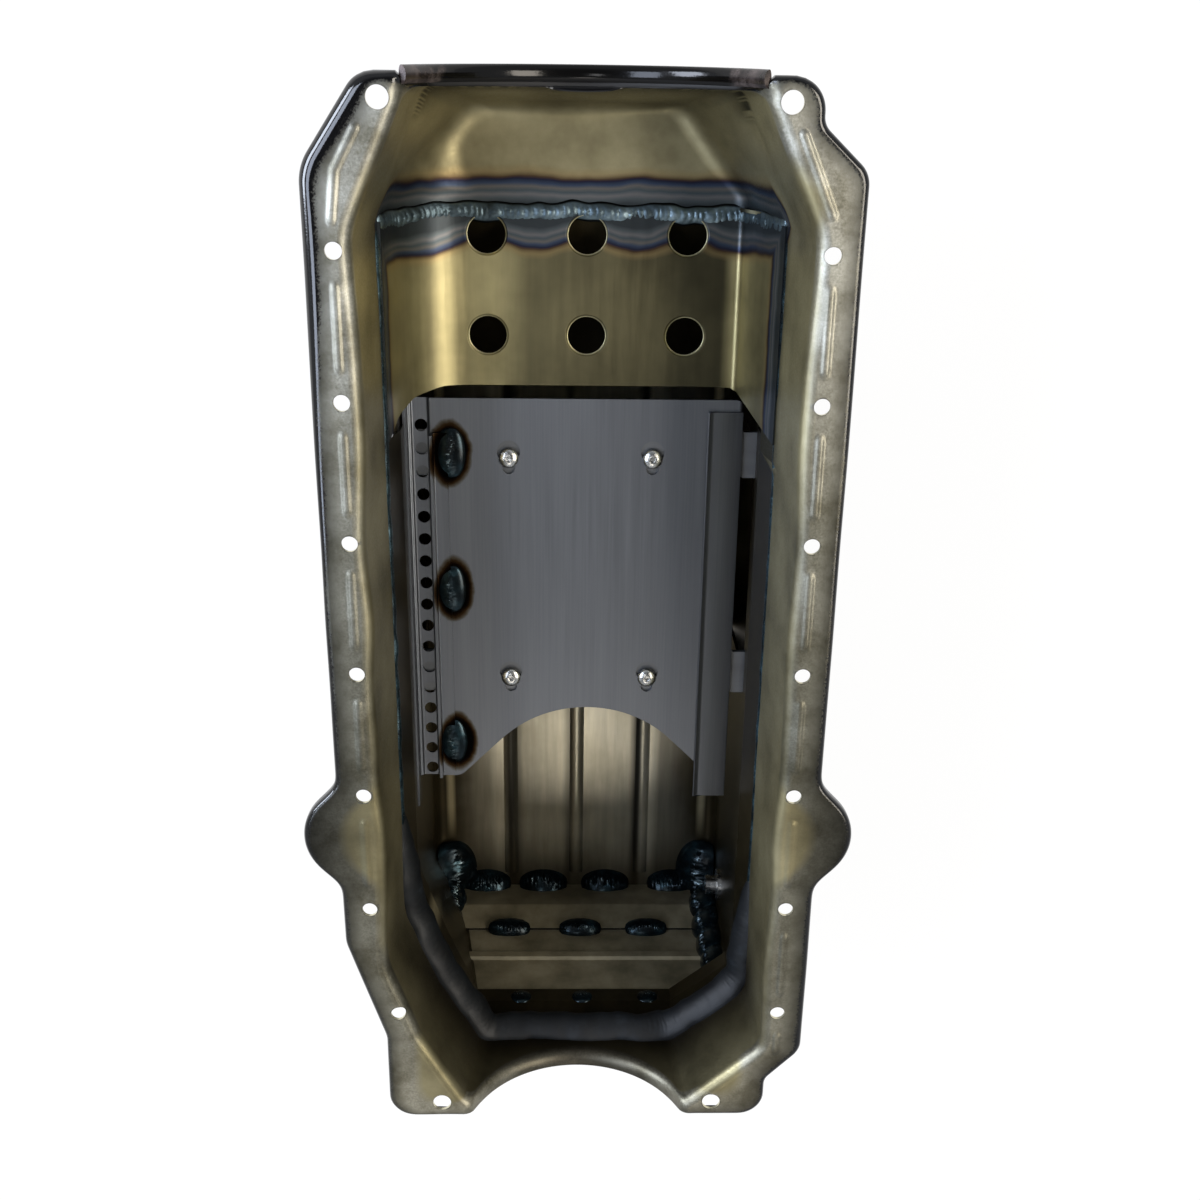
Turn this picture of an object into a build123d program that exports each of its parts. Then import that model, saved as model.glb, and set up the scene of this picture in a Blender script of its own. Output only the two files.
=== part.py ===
from build123d import *
from functools import lru_cache
from math import atan2, degrees, hypot, sqrt
import os

# Wet-sump engine oil pan: a pressed rail stamping with a folded and welded deep sump below it,
# kick-outs on both sides, and a bolted windage tray inside.
# Millimetres. +X is the right-hand rail seen from above, +Y the front (timing cover) end, +Z up.
# The origin is the middle of the pan's footprint, at the underside of the sump floor.

# ---- driving dimensions -------------------------------------------------------------------
# overall
pan_length = 532.0            # front lip to rear edge
pan_depth = 202.0             # sump floor underside to gasket face
sheet = 1.6                   # steel sheet of the stamping and of the sump
front_y = pan_length / 2
rear_y = -pan_length / 2
gasket_z = pan_depth

# rail bolts
rail_hole_half_gauge = 105.5  # centre line to a rail hole
rail_holes_per_side = 6
rail_hole_frontmost_y = front_y - 73.6
rail_hole_rearmost_y = rear_y + 131.9
rail_hole_diameter = 7.5
corner_hole_diameter = 9.6
last_hole_y = rear_y + 67.6
left_last_hole_x = -(rail_hole_half_gauge - 11.8)
right_last_hole_x = rail_hole_half_gauge - 0.4
front_corner_hole = (84.4, front_y - 12.4)
rear_corner_hole = (72.5, rear_y + 9.3)

# rail outline
rail_half_width = rail_hole_half_gauge + 13.9   # centre line to the outer edge of a rail
lip_proud = 2.0               # front lip in front of the rail's own edge
front_corner_half_width = 93.5
front_shoulder_y = front_y - 40.0
front_waist_half_width = front_corner_half_width + 5.4
front_waist_y = front_y - 21.0
rear_corner_half_width = 101.3
left_taper_y = (rear_y + 111.0, rear_y + 52.0)
right_taper_y = (rear_y + 42.5, rear_y + 23.0)
ear_reach = rail_half_width + 17.4   # centre line to the tip of an ear
ear_radius = 28.0
ear_y = rear_y + 173.5
rim_drop = 6.0                # height of the rail's turned-down rim
rim_bend = 3.0                # outer radius of that bend

# pressed beads between the bolts
bead_width = 3.2
bead_rise = 0.8
bead_length = 38.0
front_left_bead = ((-94.1, front_y - 24.4), (-103.2, front_y - 41.0), (-105.5, front_y - 61.0))
front_right_bead = ((90.1, front_y - 25.0), (104.1, front_y - 57.0))
last_right_bead_y = (rear_y + 52.8, rear_y + 43.0)

# well of the stamping, inside faces
well_half_width = rail_hole_half_gauge - 7.5    # at the gasket face
seam_narrowing = 3.5          # how far each side leans in down to the seam with the sump
seam_half_width = well_half_width - seam_narrowing
seam_drop = 57.0              # gasket face down to the seam
seam_front_lean = 1.0         # how far the front wall leans in over that drop
well_front_half_width = 73.5
well_shoulder_y = front_y - 66.5     # where the well starts to narrow to the front
well_end_inset = 8.5          # pan end to the well's end wall
well_rear_left = ((-well_half_width, rear_y + 96.0), (-84.0, rear_y + 53.0))
well_rear_right_y = rear_y + 44.0
well_rear_half_width = 59.0
seam_rear_left = ((-seam_half_width, rear_y + 94.0), (-76.5, rear_y + 49.5))
seam_rear_half_width = 53.0
mouth_break = 2.4             # bend between rail and well, made as a chamfer

# seats for the end seals
front_seat_half_width = well_front_half_width + 1.5
front_seat_depth = 58.0
lip_half_width = front_seat_half_width - 0.5    # the brazed lip ends where the rail's corner starts
rear_seat_half_width = well_rear_half_width - 2.0
rear_seat_depth = 40.0
seat_blend = 7.0              # radius between a seat and the rail

# shallow front well
shallow_drop = 99.5           # gasket face down to the shallow floor
seam_y = well_shoulder_y - 2.0       # where the shallow floor meets the baffle plate
shallow_bend_left = 41.0      # wide bend of the left side
shallow_bend_right = 7.0
shallow_right = seam_half_width - 20.5          # centre line to the right-hand bend
shallow_break_y = front_y - 52.0     # where the right-hand side starts to slant in
shallow_break_in = (4.0, 1.0)        # left and right bends' way in at that break
shallow_break_bend = 33.0
shallow_front_left = -54.0
shallow_front_right = 47.0
shallow_front_bend = 12.0
shallow_end_rake = 8.0        # how far the end wall leans in below the seam level

# six-hole baffle plate
baffle_edge_y = front_y - 153.0
baffle_side_y = front_y - 172.0
baffle_edge_in = (25.0, 6.0)  # left and right ends of the plate's straight rear edge, in from the walls
baffle_edge_radii = (40.0, 12.0)
baffle_hole_diameter = 18.8
baffle_hole_pitch = 49.1
baffle_hole_centre = (2.5, front_y - 103.0)

# sump, inside faces
collar_drop = 91.0            # gasket face down to the collar's lower edge
collar_lap = 11.0             # how far the sump walls lap up outside the collar
sump_half_width = seam_half_width - 3.0
sump_rear_y = rear_y + 12.5
sump_floor_left = ((-sump_half_width, rear_y + 36.5), (-85.0, rear_y + 24.5), (-76.5, sump_rear_y))
sump_top_left = ((-sump_half_width, rear_y + 97.5), (-77.5, rear_y + 56.5), (-60.0, sump_rear_y))
sump_right = ((78.0, sump_rear_y), (sump_half_width, rear_y + 26.0))
ring_right = ((56.0, sump_rear_y), (sump_half_width, rear_y + 41.5))   # ring's chamfer over that corner
sump_bend = 8.0
sump_front_y = front_y - 165.0       # front edge of the floor
rib_pitch = 42.5
rib_width = 9.0
rib_rise = 2.2
rib_rear_y = rear_y + 26.0
rib_front_y = sump_front_y - 21.0

# angle strip across the rear of the floor
strip_fold_z = 30.0
strip_fold_reach = 6.5
strip_top_z = 49.0
rear_bead_z = strip_top_z + 27.0     # pressed bead across the rear panel, over the strip
strip_ends = (-(sump_half_width - 17.0), sump_half_width - 15.5)

# kick-outs
kickout_reach = rail_half_width - 5.4           # they stay hidden under the rails
kickout_front_y = front_y - 174.0
kickout_left_rear_y = rear_y + 182.0
kickout_right_rear_y = rear_y + 204.0
kickout_rake = 12.0           # how far each end slants in over the kick-out's depth
kickout_drop = 96.0           # gasket face down to the kick-out's top
kickout_bend = 8.0
window_margin = 10.0          # wall left between a window and its kick-out's ends and top

# windage tray
tray_drop = 100.0             # gasket face down to the tray's top face
tray_sheet = 1.5
tray_left = -(sump_half_width - 2.6)
tray_right = sump_half_width - 8.0
tray_front_y = baffle_edge_y - 7.5
tray_rear_y = rear_y + 154.0
tray_lip_height = 8.0
tray_lip_rear_y = tray_rear_y - 15.5
tray_hem = 3.4
channel_left = tray_left + 2.5
channel_right = tray_left + 10.3
channel_drop = 1.2
relief_x = 4.4
relief_radius = 66.0
relief_apex_y = tray_rear_y + 43.0
drip_hole_diameter = 6.6
drip_hole_count = 17
drip_hole_x = tray_left + 6.9
drip_hole_y = (tray_front_y - 14.5, tray_rear_y + 4.6)

# crossbars, screws and nuts
crossbar_width = 24.5
crossbar_sheet = 3.0
crossbar_y = (tray_front_y - 29.5, tray_rear_y + 64.0)
screw_x = (-37.2, 37.5)
screw_off_bar = (1.9, 2.7)    # each pair of screws behind its crossbar's centre line
screw_diameter = 5.0
screw_clearance = 0.2
screw_head_diameter = 9.5
screw_head_height = 2.8
screw_socket = 3.0            # across flats
screw_length = 14.0
nut_flats = 8.0
nut_height = 4.0
keyhole_diameter = 12.0
keyhole_slot = 6.4
keyhole_lift = 3.4            # screw axis to the round part's centre
keyhole_fall = 5.4            # screw axis to the slot's end centre

# scrapers on the tray
left_scraper_x = tray_left + 11.7
left_scraper_foot = 8.6
left_scraper_height = 8.0
left_scraper_y = (tray_front_y - 18.0, tray_rear_y + 2.5)
right_scraper_x = (tray_right - 16.3, tray_right)
right_scraper_y = (tray_front_y - 6.1, tray_rear_y - 12.0)
right_scraper_rise = 3.0

# welds
seam_bead_width = 10.0
seam_bead_height = 1.8
side_bead_width = 5.0
rear_bead_width = 14.0
rear_bead_height = 3.0
rear_weld_right_y = rear_y + 61.0
tack_size = (15.0, 27.0, 5.0)
tack_x = left_scraper_x + 10.0
tack_y = (left_scraper_y[0] - 10.9, (left_scraper_y[0] + left_scraper_y[1]) / 2 + 12.1,
          left_scraper_y[1] + 19.1)
floor_tack_size = (23.0, 13.0, 13.0)
floor_tack_x = (-59.0, -21.5, 19.5, 63.5)
wall_tack_size = (22.0, 9.0, 13.0)
wall_tack_x = (-42.5, 2.7, 44.7)
plug_weld_diameter = 8.0
plug_weld_height = 1.4
plug_weld_x = (-32.7, 3.4, 42.0)
corner_weld_radius = 8.5
corner_foot_size = (26.0, 34.0, 20.0)
corner_weld_in = (12.5, 10.5)        # side wall to the left and right corner welds
corner_weld_off_rear = 4.0
corner_weld_drop = (65.0, 19.0)      # collar's lower edge down to each weld's top
corner_foot_shift = (3.5, 14.0)      # from each weld to the middle of its foot, outwards and forwards

# drain
drain_y = rear_y + 41.0
drain_z = 40.0
bung_diameter = 20.0
bung_length = 14.0
bung_inside = 2.0             # how far the bung stands inside the wall
plug_diameter = 12.0
plug_inside = 9.0             # how far the plug's end stands inside the wall
plug_head_flats = 17.0
plug_head_height = 7.0
washer_diameter = 19.0
washer_thickness = 1.5

# ---- levels and lines worked out from them ------------------------------------------------
seam_z = gasket_z - seam_drop
shallow_z = gasket_z - shallow_drop
collar_z = gasket_z - collar_drop
lap_z = collar_z + collar_lap
tray_z = gasket_z - tray_drop
well_front_y = front_y - well_end_inset
well_rear_y = rear_y + well_end_inset
over = 20.0                   # overrun of cutting tools past what they cut
wide = 1.5 * sump_half_width  # half the width of tools that cut the whole pan


# ---- sheet-metal helpers ------------------------------------------------------------------
def unit(a, b):
    """Direction from point a to point b."""
    length = hypot(b[0] - a[0], b[1] - a[1])
    return ((b[0] - a[0]) / length, (b[1] - a[1]) / length)


def shifted(path, amount, closed):
    """The path's corners moved to the right of its direction by amount, radii kept concentric."""
    count = len(path)
    moved = []
    for i, corner in enumerate(path):
        before = path[i - 1] if closed or i > 0 else None
        after = path[(i + 1) % count] if closed or i < count - 1 else None
        d1 = unit(before, corner) if before else unit(corner, after)
        d2 = unit(corner, after) if after else d1
        n1 = (d1[1], -d1[0])
        n2 = (d2[1], -d2[0])
        k = amount / (1 + n1[0] * n2[0] + n1[1] * n2[1])
        turn = d1[0] * d2[1] - d1[1] * d2[0]
        radius = corner[2] if len(corner) > 2 else 0.0
        if radius > 0:
            radius += amount if turn > 0 else -amount
        moved.append((corner[0] + k * (n1[0] + n2[0]), corner[1] + k * (n1[1] + n2[1]), max(radius, 0.0)))
    return moved


def rounded(corners):
    """A closed wire through the corners (x, y, radius), each rounded by its own arc."""
    count = len(corners)
    edges = []
    ends = []
    for i, corner in enumerate(corners):
        d1 = unit(corners[i - 1], corner)
        d2 = unit(corner, corners[(i + 1) % count])
        radius = corner[2] if len(corner) > 2 else 0.0
        cosine = d1[0] * d2[0] + d1[1] * d2[1]
        if radius <= 0:
            ends.append((corner[:2], corner[:2]))
            continue
        half_cos = sqrt((1 + cosine) / 2)
        cut = radius * sqrt((1 - cosine) / 2) / half_cos
        start = (corner[0] - d1[0] * cut, corner[1] - d1[1] * cut)
        end = (corner[0] + d2[0] * cut, corner[1] + d2[1] * cut)
        inward = unit((0, 0), (d2[0] - d1[0], d2[1] - d1[1]))
        reach = radius / half_cos - radius
        middle = (corner[0] + inward[0] * reach, corner[1] + inward[1] * reach)
        edges.append(ThreePointArc(start, middle, end))
        ends.append((start, end))
    for i in range(count):
        edges.append(Line(ends[i][1], ends[(i + 1) % count][0]))
    return Wire(edges)


def plan_face(corners, z, grow=0.0):
    """Face of a counter-clockwise plan outline at height z, grown outwards by grow."""
    outline = shifted(corners, grow, True) if grow else corners
    return Plane.XY.offset(z) * Face(rounded(outline))


def plan_prism(corners, bottom, top, grow=0.0):
    return extrude(plan_face(corners, bottom, grow), top - bottom, dir=(0, 0, 1))


def end_plane(y):
    """Plane across the pan at y, with local x to the right and local y up."""
    return Plane(origin=(0, y, 0), x_dir=(1, 0, 0), z_dir=(0, -1, 0))


def side_plane(x):
    """Plane along the pan at x, with local x to the front and local y up."""
    return Plane(origin=(x, 0, 0), x_dir=(0, 1, 0), z_dir=(1, 0, 0))


def strip_face(path, thickness):
    """Section of a folded strip: the path is one face, the other lies thickness to its right."""
    other = shifted(path, thickness, False)
    return Face(rounded(list(path) + other[::-1]))


def across(face, start_y, end_y):
    """Sweep a section of the plane across the pan from start_y forward to end_y."""
    return extrude(end_plane(start_y) * face, end_y - start_y, dir=(0, 1, 0))


def along(face, start_x, end_x):
    """Sweep a section of the plane along the pan from start_x to end_x."""
    return extrude(side_plane(start_x) * face, end_x - start_x, dir=(1, 0, 0))


def block(x, y, z):
    """Box between two x, two y and two z values."""
    size = [abs(b - a) for a, b in (x, y, z)]
    middle = [(a + b) / 2 for a, b in (x, y, z)]
    return Pos(*middle) * Box(*size)


def bored(x, y, diameter, bottom, top):
    """Upright drill from bottom to top."""
    return Pos(x, y, (bottom + top) / 2) * Cylinder(diameter / 2, top - bottom)


# ---- outlines of the pan, counter-clockwise -----------------------------------------------
def rail_outline():
    w = rail_half_width
    return [
        (-front_corner_half_width, front_y - lip_proud, 14), (-w, front_shoulder_y, 24),
        (-w, left_taper_y[0], 20), (-rear_corner_half_width, left_taper_y[1], 18),
        (-rear_corner_half_width, rear_y, 13), (rear_corner_half_width, rear_y, 13),
        (rear_corner_half_width, right_taper_y[1], 8), (w, right_taper_y[0], 12),
        (w, front_shoulder_y, 12), (front_waist_half_width, front_waist_y, 8),
        (front_waist_half_width, front_y - lip_proud, 14)]


def gasket_outline():
    """Mouth of the well at the gasket face."""
    first, second = well_rear_left
    return [
        (-well_front_half_width, well_front_y, 6), (-well_half_width, well_shoulder_y, 30),
        (*first, 30), (*second, 30), (-well_rear_half_width, well_rear_y, 8),
        (well_rear_half_width, well_rear_y, 8), (well_half_width, well_rear_right_y, 14),
        (well_half_width, well_shoulder_y, 30), (well_front_half_width, well_front_y, 6)]


def seam_outline():
    """Inside of the pan at the seam between stamping and sump."""
    first, second = seam_rear_left
    half = well_front_half_width - seam_narrowing
    end_y = well_front_y - seam_front_lean
    return [
        (-half, end_y, 6), (-seam_half_width, well_shoulder_y, 30), (*first, 30), (*second, 30),
        (-seam_rear_half_width, well_rear_y, 10), (seam_rear_half_width, well_rear_y, 10),
        (seam_half_width, well_rear_right_y, 14), (seam_half_width, well_shoulder_y, 30), (half, end_y, 6)]


def sump_top_outline(right):
    """Inside of the sump at its top, run on forward to the seam, with the given right rear corner."""
    first, second, third = sump_top_left
    return [
        (-sump_half_width, well_shoulder_y, 0), (*first, 40), (*second, 60), (*third, 2),
        (*right[0], 2), (*right[1], 8), (sump_half_width, well_shoulder_y, 0)]


def sump_floor_outline():
    """Inside of the sump box at its floor, run on forward to the seam."""
    first, second, third = sump_floor_left
    return [
        (-sump_half_width, well_shoulder_y, 0), (*first, 12), (*second, 40), (*third, 2),
        (*sump_right[0], 2), (*sump_right[1], 8), (sump_half_width, well_shoulder_y, 0)]


# ---- rail stamping ------------------------------------------------------------------------
def seat_circle(half_width, depth):
    """Radius and centre height of the seat's upper face."""
    radius = (half_width ** 2 + depth ** 2) / (2 * depth)
    return radius, gasket_z - depth + radius


def seat_curve(half_width, depth, drop):
    """Edges of the rail line dipping into a seat, from left to right, drop below the upper face."""
    radius, centre = seat_circle(half_width, depth)
    crest_z = gasket_z - seat_blend
    crest_x = sqrt((radius + seat_blend) ** 2 - (centre - crest_z) ** 2)
    share = radius / (radius + seat_blend)
    outer = seat_blend - drop
    touch = [crest_x * (radius + drop) / (radius + seat_blend),
             centre + (crest_z - centre) * (radius + drop) / (radius + seat_blend)]
    lean = unit((crest_x, crest_z), (touch[0], touch[1]))
    between = unit((0, 0), (lean[0], lean[1] + 1))
    bend = (crest_x + between[0] * outer, crest_z + between[1] * outer)
    edges = [Line((-crest_x - 6, gasket_z - drop), (-crest_x, gasket_z - drop)),
             ThreePointArc((-crest_x, gasket_z - drop), (-bend[0], bend[1]), (-touch[0], touch[1])),
             ThreePointArc((-touch[0], touch[1]), (0, centre - radius - drop), (touch[0], touch[1])),
             ThreePointArc((touch[0], touch[1]), bend, (crest_x, gasket_z - drop)),
             Line((crest_x, gasket_z - drop), (crest_x + 6, gasket_z - drop))]
    return edges, crest_x + 6


def seat_strip(half_width, depth, start_y, end_y):
    """Sheet that follows the rail line down through a seat."""
    upper, reach = seat_curve(half_width, depth, 0)
    lower, _ = seat_curve(half_width, depth, sheet)
    sides = [Line((-reach, gasket_z), (-reach, gasket_z - sheet)),
             Line((reach, gasket_z), (reach, gasket_z - sheet))]
    return across(Face(Wire(upper + lower + sides)), start_y, end_y)


def seat_cutter(half_width, depth, start_y, end_y):
    """Everything above a seat's upper face."""
    upper, reach = seat_curve(half_width, depth, 0)
    top = gasket_z + over
    box = [Line((-reach, gasket_z), (-reach, top)), Line((-reach, top), (reach, top)),
           Line((reach, top), (reach, gasket_z))]
    return across(Face(Wire(upper + box)), start_y, end_y)


@lru_cache(maxsize=None)
def well_volume(grow):
    """Space of the stamping's well from the gasket face to the seam, grown by grow."""
    mouth_z = gasket_z - grow
    levels = [(mouth_z + 1, mouth_break), (mouth_z, mouth_break), (mouth_z - mouth_break, 0)]
    sections = [plan_face(gasket_outline(), z, grow + spread) for z, spread in levels]
    return loft(sections + [plan_face(seam_outline(), seam_z, grow)], ruled=True)


def shallow_section(y, half, left, right, bend_left, bend_right, grow):
    """Section of the shallow front well at y."""
    corners = [(-half, seam_z, 0), (left, shallow_z, bend_left), (right, shallow_z, bend_right),
               (half, seam_z, 0)]
    return end_plane(y) * Face(rounded(shifted(corners, grow, True)))


@lru_cache(maxsize=None)
def shallow_volume(grow):
    """Space of the shallow front well below the seam level, grown by grow."""
    run = well_front_y - well_shoulder_y
    narrow = (seam_half_width - well_front_half_width + seam_narrowing) / run
    break_half = seam_half_width - (shallow_break_y - well_shoulder_y) * narrow
    front_half = seam_half_width - run * narrow
    sections = [
        shallow_section(seam_y, seam_half_width, -seam_half_width, shallow_right,
                        shallow_bend_left, shallow_bend_right, grow),
        shallow_section(shallow_break_y, break_half, -break_half + shallow_break_in[0],
                        shallow_right - shallow_break_in[1], shallow_break_bend, shallow_bend_right, grow),
        shallow_section(well_front_y, front_half, shallow_front_left, shallow_front_right,
                        shallow_front_bend, shallow_front_bend, grow)]
    body = loft(sections, ruled=True)
    head_y = well_front_y - seam_front_lean + grow
    foot_y = head_y - shallow_end_rake
    end = [(head_y, seam_z), (foot_y, shallow_z - grow), (foot_y, shallow_z - over),
           (front_y + over, shallow_z - over), (front_y + over, seam_z)]
    return body - along(Face(rounded([(*p, 0) for p in end])), -wide, wide)


@lru_cache(maxsize=None)
def rail_block():
    """Space the rail and its ears take up, with the rim's bend round its top edge."""
    body = plan_prism(rail_outline(), gasket_z - rim_drop, gasket_z)
    for side in (-1, 1):
        ear_x = side * (ear_reach - ear_radius)
        body += Pos(ear_x, ear_y, gasket_z - rim_drop / 2) * Cylinder(ear_radius, rim_drop)
    top = body.faces().sort_by(Axis.Z)[-1]
    return fillet(top.edges(), rim_bend)


def rail_plate():
    """Rail with its ears and turned-down rim, before the well is opened."""
    hollow = plan_prism(rail_outline(), gasket_z - rim_drop - over, gasket_z - sheet, -sheet)
    for side in (-1, 1):
        ear_x = side * (ear_reach - ear_radius)
        hollow += Pos(ear_x, ear_y, gasket_z - sheet - over / 2) * Cylinder(ear_radius - sheet, over)
    return rail_block() - hollow


def rail_hole_rows():
    """The y of each pair of rail bolts, from the rear."""
    pitch = (rail_hole_frontmost_y - rail_hole_rearmost_y) / (rail_holes_per_side - 1)
    return [rail_hole_rearmost_y + row * pitch for row in range(rail_holes_per_side)]


def rail_holes():
    """The fourteen rail bolts and the four corner bolts, as (x, y, diameter)."""
    places = [(left_last_hole_x, last_hole_y), (right_last_hole_x, last_hole_y)]
    for y in rail_hole_rows():
        places += [(-rail_hole_half_gauge, y), (rail_hole_half_gauge, y)]
    holes = [(*place, rail_hole_diameter) for place in places]
    for x, y in (front_corner_hole, rear_corner_hole):
        holes += [(-x, y, corner_hole_diameter), (x, y, corner_hole_diameter)]
    return holes


def pressed_bead(start, end):
    """Raised bar on the rail between two points, round at its ends."""
    run = hypot(end[0] - start[0], end[1] - start[1])
    turn = degrees(atan2(end[1] - start[1], end[0] - start[0]))
    bar = Rot(0, 0, turn) * SlotCenterToCenter(run, bead_width)
    middle = ((start[0] + end[0]) / 2, (start[1] + end[1]) / 2)
    return Pos(*middle, gasket_z - sheet / 2) * extrude(bar, sheet / 2 + bead_rise)


def rail_beads():
    """Raised gasket beads: one between each two rail bolts, and one or two towards each corner."""
    rows = rail_hole_rows()
    half = (bead_length - bead_width) / 2
    lines = [front_left_bead[:2], front_left_bead[1:], front_right_bead]
    for side in (-1, 1):
        x = side * rail_hole_half_gauge
        for middle in [(before + after) / 2 for before, after in zip(rows, rows[1:])]:
            lines.append(((x, middle - half), (x, middle + half)))
    middle = (rows[0] + last_hole_y) / 2
    lines.append(((rail_hole_half_gauge, middle - half), (rail_hole_half_gauge, middle + half)))
    lines.append([(rail_hole_half_gauge, y) for y in last_right_bead_y])
    return [pressed_bead(*line) for line in lines]


def rail_stamping():
    outer = rail_plate() + well_volume(sheet) + shallow_volume(sheet) + rail_beads()
    body = outer - well_volume(0) - shallow_volume(0)
    body -= plan_prism(seam_outline(), seam_z - 1, seam_z + 1)
    body -= block((-wide, wide), (rear_y - over, seam_y), (0, seam_z))
    inside_y = well_front_y - 2 * seam_front_lean
    body -= seat_cutter(front_seat_half_width, front_seat_depth, inside_y, front_y + over)
    body -= lip_space()
    edge = seat_strip(front_seat_half_width, front_seat_depth, inside_y, well_front_y + sheet)
    corners = seat_strip(front_seat_half_width, front_seat_depth, inside_y, front_y) & rail_block()
    body += (edge + (corners - lip_space())) - well_volume(0)
    body -= seat_cutter(rear_seat_half_width, rear_seat_depth, rear_y - over, well_rear_y)
    body += seat_strip(rear_seat_half_width, rear_seat_depth, rear_y, well_rear_y)
    for x, y, diameter in rail_holes():
        body -= bored(x, y, diameter, gasket_z - rim_drop - 1, gasket_z + 1)
    return body


def lip_space():
    """Where the separate lip takes the place of the rail's front edge."""
    return block((-lip_half_width, lip_half_width), (well_front_y + sheet, front_y + over),
                 (seam_z - over, gasket_z + 1))


def front_seal_lip():
    """Separate strip brazed on round the front seal arc."""
    return seat_strip(front_seat_half_width, front_seat_depth, well_front_y + sheet, front_y) & lip_space()


# ---- six-hole baffle plate ----------------------------------------------------------------
def baffle_path():
    """Upper face of the folded plate, from the left seam down, across and up to the right seam."""
    return [(-seam_half_width, seam_z, 0), (-seam_half_width, shallow_z, shallow_bend_left),
            (shallow_right, shallow_z, shallow_bend_right), (seam_half_width, seam_z, 0)]


def baffle_plate():
    body = across(strip_face(baffle_path(), sheet), baffle_side_y, seam_y)
    beyond = seam_half_width + over
    edge = [(-beyond, baffle_side_y - over, 0), (beyond, baffle_side_y - over, 0),
            (beyond, baffle_side_y, 0), (seam_half_width, baffle_side_y, 0),
            (seam_half_width - baffle_edge_in[1], baffle_edge_y, baffle_edge_radii[1]),
            (-seam_half_width + baffle_edge_in[0], baffle_edge_y, baffle_edge_radii[0]),
            (-seam_half_width, baffle_side_y, 0), (-beyond, baffle_side_y, 0)]
    body -= plan_prism(edge, shallow_z - over, gasket_z)
    centre_x, centre_y = baffle_hole_centre
    for column in (-1, 0, 1):
        for row in (-0.5, 0.5):
            x = centre_x + column * baffle_hole_pitch
            y = centre_y + row * baffle_hole_pitch
            body -= bored(x, y, baffle_hole_diameter, shallow_z - over, shallow_z + over)
    return body


def baffle_backing():
    """Everything above the underside of the folded plate."""
    lower = shifted(baffle_path(), sheet, False)
    top = [(lower[-1][0], gasket_z, 0), (lower[0][0], gasket_z, 0)]
    return across(Face(rounded(lower + top)), baffle_side_y, seam_y + over)


# ---- sump ---------------------------------------------------------------------------------
@lru_cache(maxsize=None)
def collar_volume(grow):
    """Space inside the collar: straight where the sump laps it, spreading to the seam above."""
    inset = grow - sheet
    low = plan_prism(sump_top_outline(ring_right), collar_z, lap_z, inset)
    lower = plan_face(sump_top_outline(ring_right), lap_z, inset)
    first, second = seam_rear_left
    top = [(-seam_half_width, well_shoulder_y, 0), (*first, 30), (*second, 60),
           (-seam_rear_half_width, well_rear_y, 10), (seam_rear_half_width, well_rear_y, 10),
           (seam_half_width, well_rear_right_y, 14), (seam_half_width, well_shoulder_y, 0)]
    return low + loft([lower, plan_face(top, seam_z, grow)], ruled=True)


def sump_collar():
    """Folded band between the stamping and the deep sump, with its turned-in rear ring."""
    body = collar_volume(sheet) - collar_volume(0)
    return body - block((-wide, wide), (baffle_side_y, front_y), (0, gasket_z))


@lru_cache(maxsize=None)
def sump_volume(grow):
    """Space of the deep sump, floor bend included, grown by grow."""
    lower = plan_face(sump_floor_outline(), sheet - grow, grow)
    body = loft([lower, plan_face(sump_top_outline(sump_right), collar_z, grow)], ruled=True)
    channel = [(-sump_half_width, gasket_z, 0), (-sump_half_width, sheet, sump_bend),
               (sump_half_width, sheet, sump_bend), (sump_half_width, gasket_z, 0)]
    section = Face(rounded(shifted(channel, grow, True)))
    body = body & across(section, rear_y - over, front_y)
    return body + plan_prism(sump_top_outline(sump_right), collar_z, seam_z, grow)


@lru_cache(maxsize=None)
def slope_cutter(inset):
    """Everything in front of the sloping front wall's outer face, moved in by inset."""
    foot = (sump_front_y, 0)
    head = (seam_y, shallow_z - sheet)
    along_slope = unit(foot, head)
    lean = (-along_slope[1] * inset, along_slope[0] * inset)
    reach = 60.0
    start = (foot[0] + lean[0] - along_slope[0] * reach, foot[1] + lean[1] - along_slope[1] * reach)
    end = (head[0] + lean[0] + along_slope[0] * reach, head[1] + lean[1] + along_slope[1] * reach)
    corners = [(*start, 0), (front_y + over, start[1], 0), (front_y + over, end[1], 0), (*end, 0)]
    return along(Face(rounded(corners)), -wide, wide)


def window(side):
    """Opening in a sump wall into its kick-out."""
    rear = kickout_right_rear_y if side > 0 else kickout_left_rear_y
    x = (side * (sump_half_width - 5), side * (sump_half_width + sheet + 5))
    return block(x, (rear + window_margin, kickout_front_y - window_margin),
                 (sheet + sump_bend + 1, gasket_z - kickout_drop - window_margin))


def sump_trough():
    """Floor and two sides folded from one sheet, with the kick-out windows and the floor ribs."""
    inside = sump_volume(0)
    body = sump_volume(sheet) - inside
    body -= slope_cutter(0)
    body -= block((-wide, wide), (rear_y, sump_rear_y), (-1, gasket_z))
    body -= block((-wide, wide), (rear_y, baffle_side_y), (lap_z, gasket_z))
    body -= baffle_backing()
    body -= block((-wide, wide), (rear_y, front_y), (lap_z + 10, gasket_z))
    body -= drain_axis(bung_diameter, -over, over)
    for side in (-1, 1):
        body -= window(side)
    for column in (-1, 0, 1):
        body += rib_solid(column * rib_pitch)
    return body


def rib_solid(x):
    """Pressed rib: a low round-topped ridge along the floor."""
    radius = (rib_width ** 2 / 4 + rib_rise ** 2) / (2 * rib_rise)
    centre_z = sheet + rib_rise - radius
    bar = Pos(x, (rib_front_y + rib_rear_y) / 2, centre_z) * Rot(90, 0, 0) * Cylinder(
        radius, rib_front_y - rib_rear_y)
    return bar & block((x - rib_width, x + rib_width), (rib_rear_y, rib_front_y),
                       (sheet / 2, sheet + rib_rise + 1))


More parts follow.
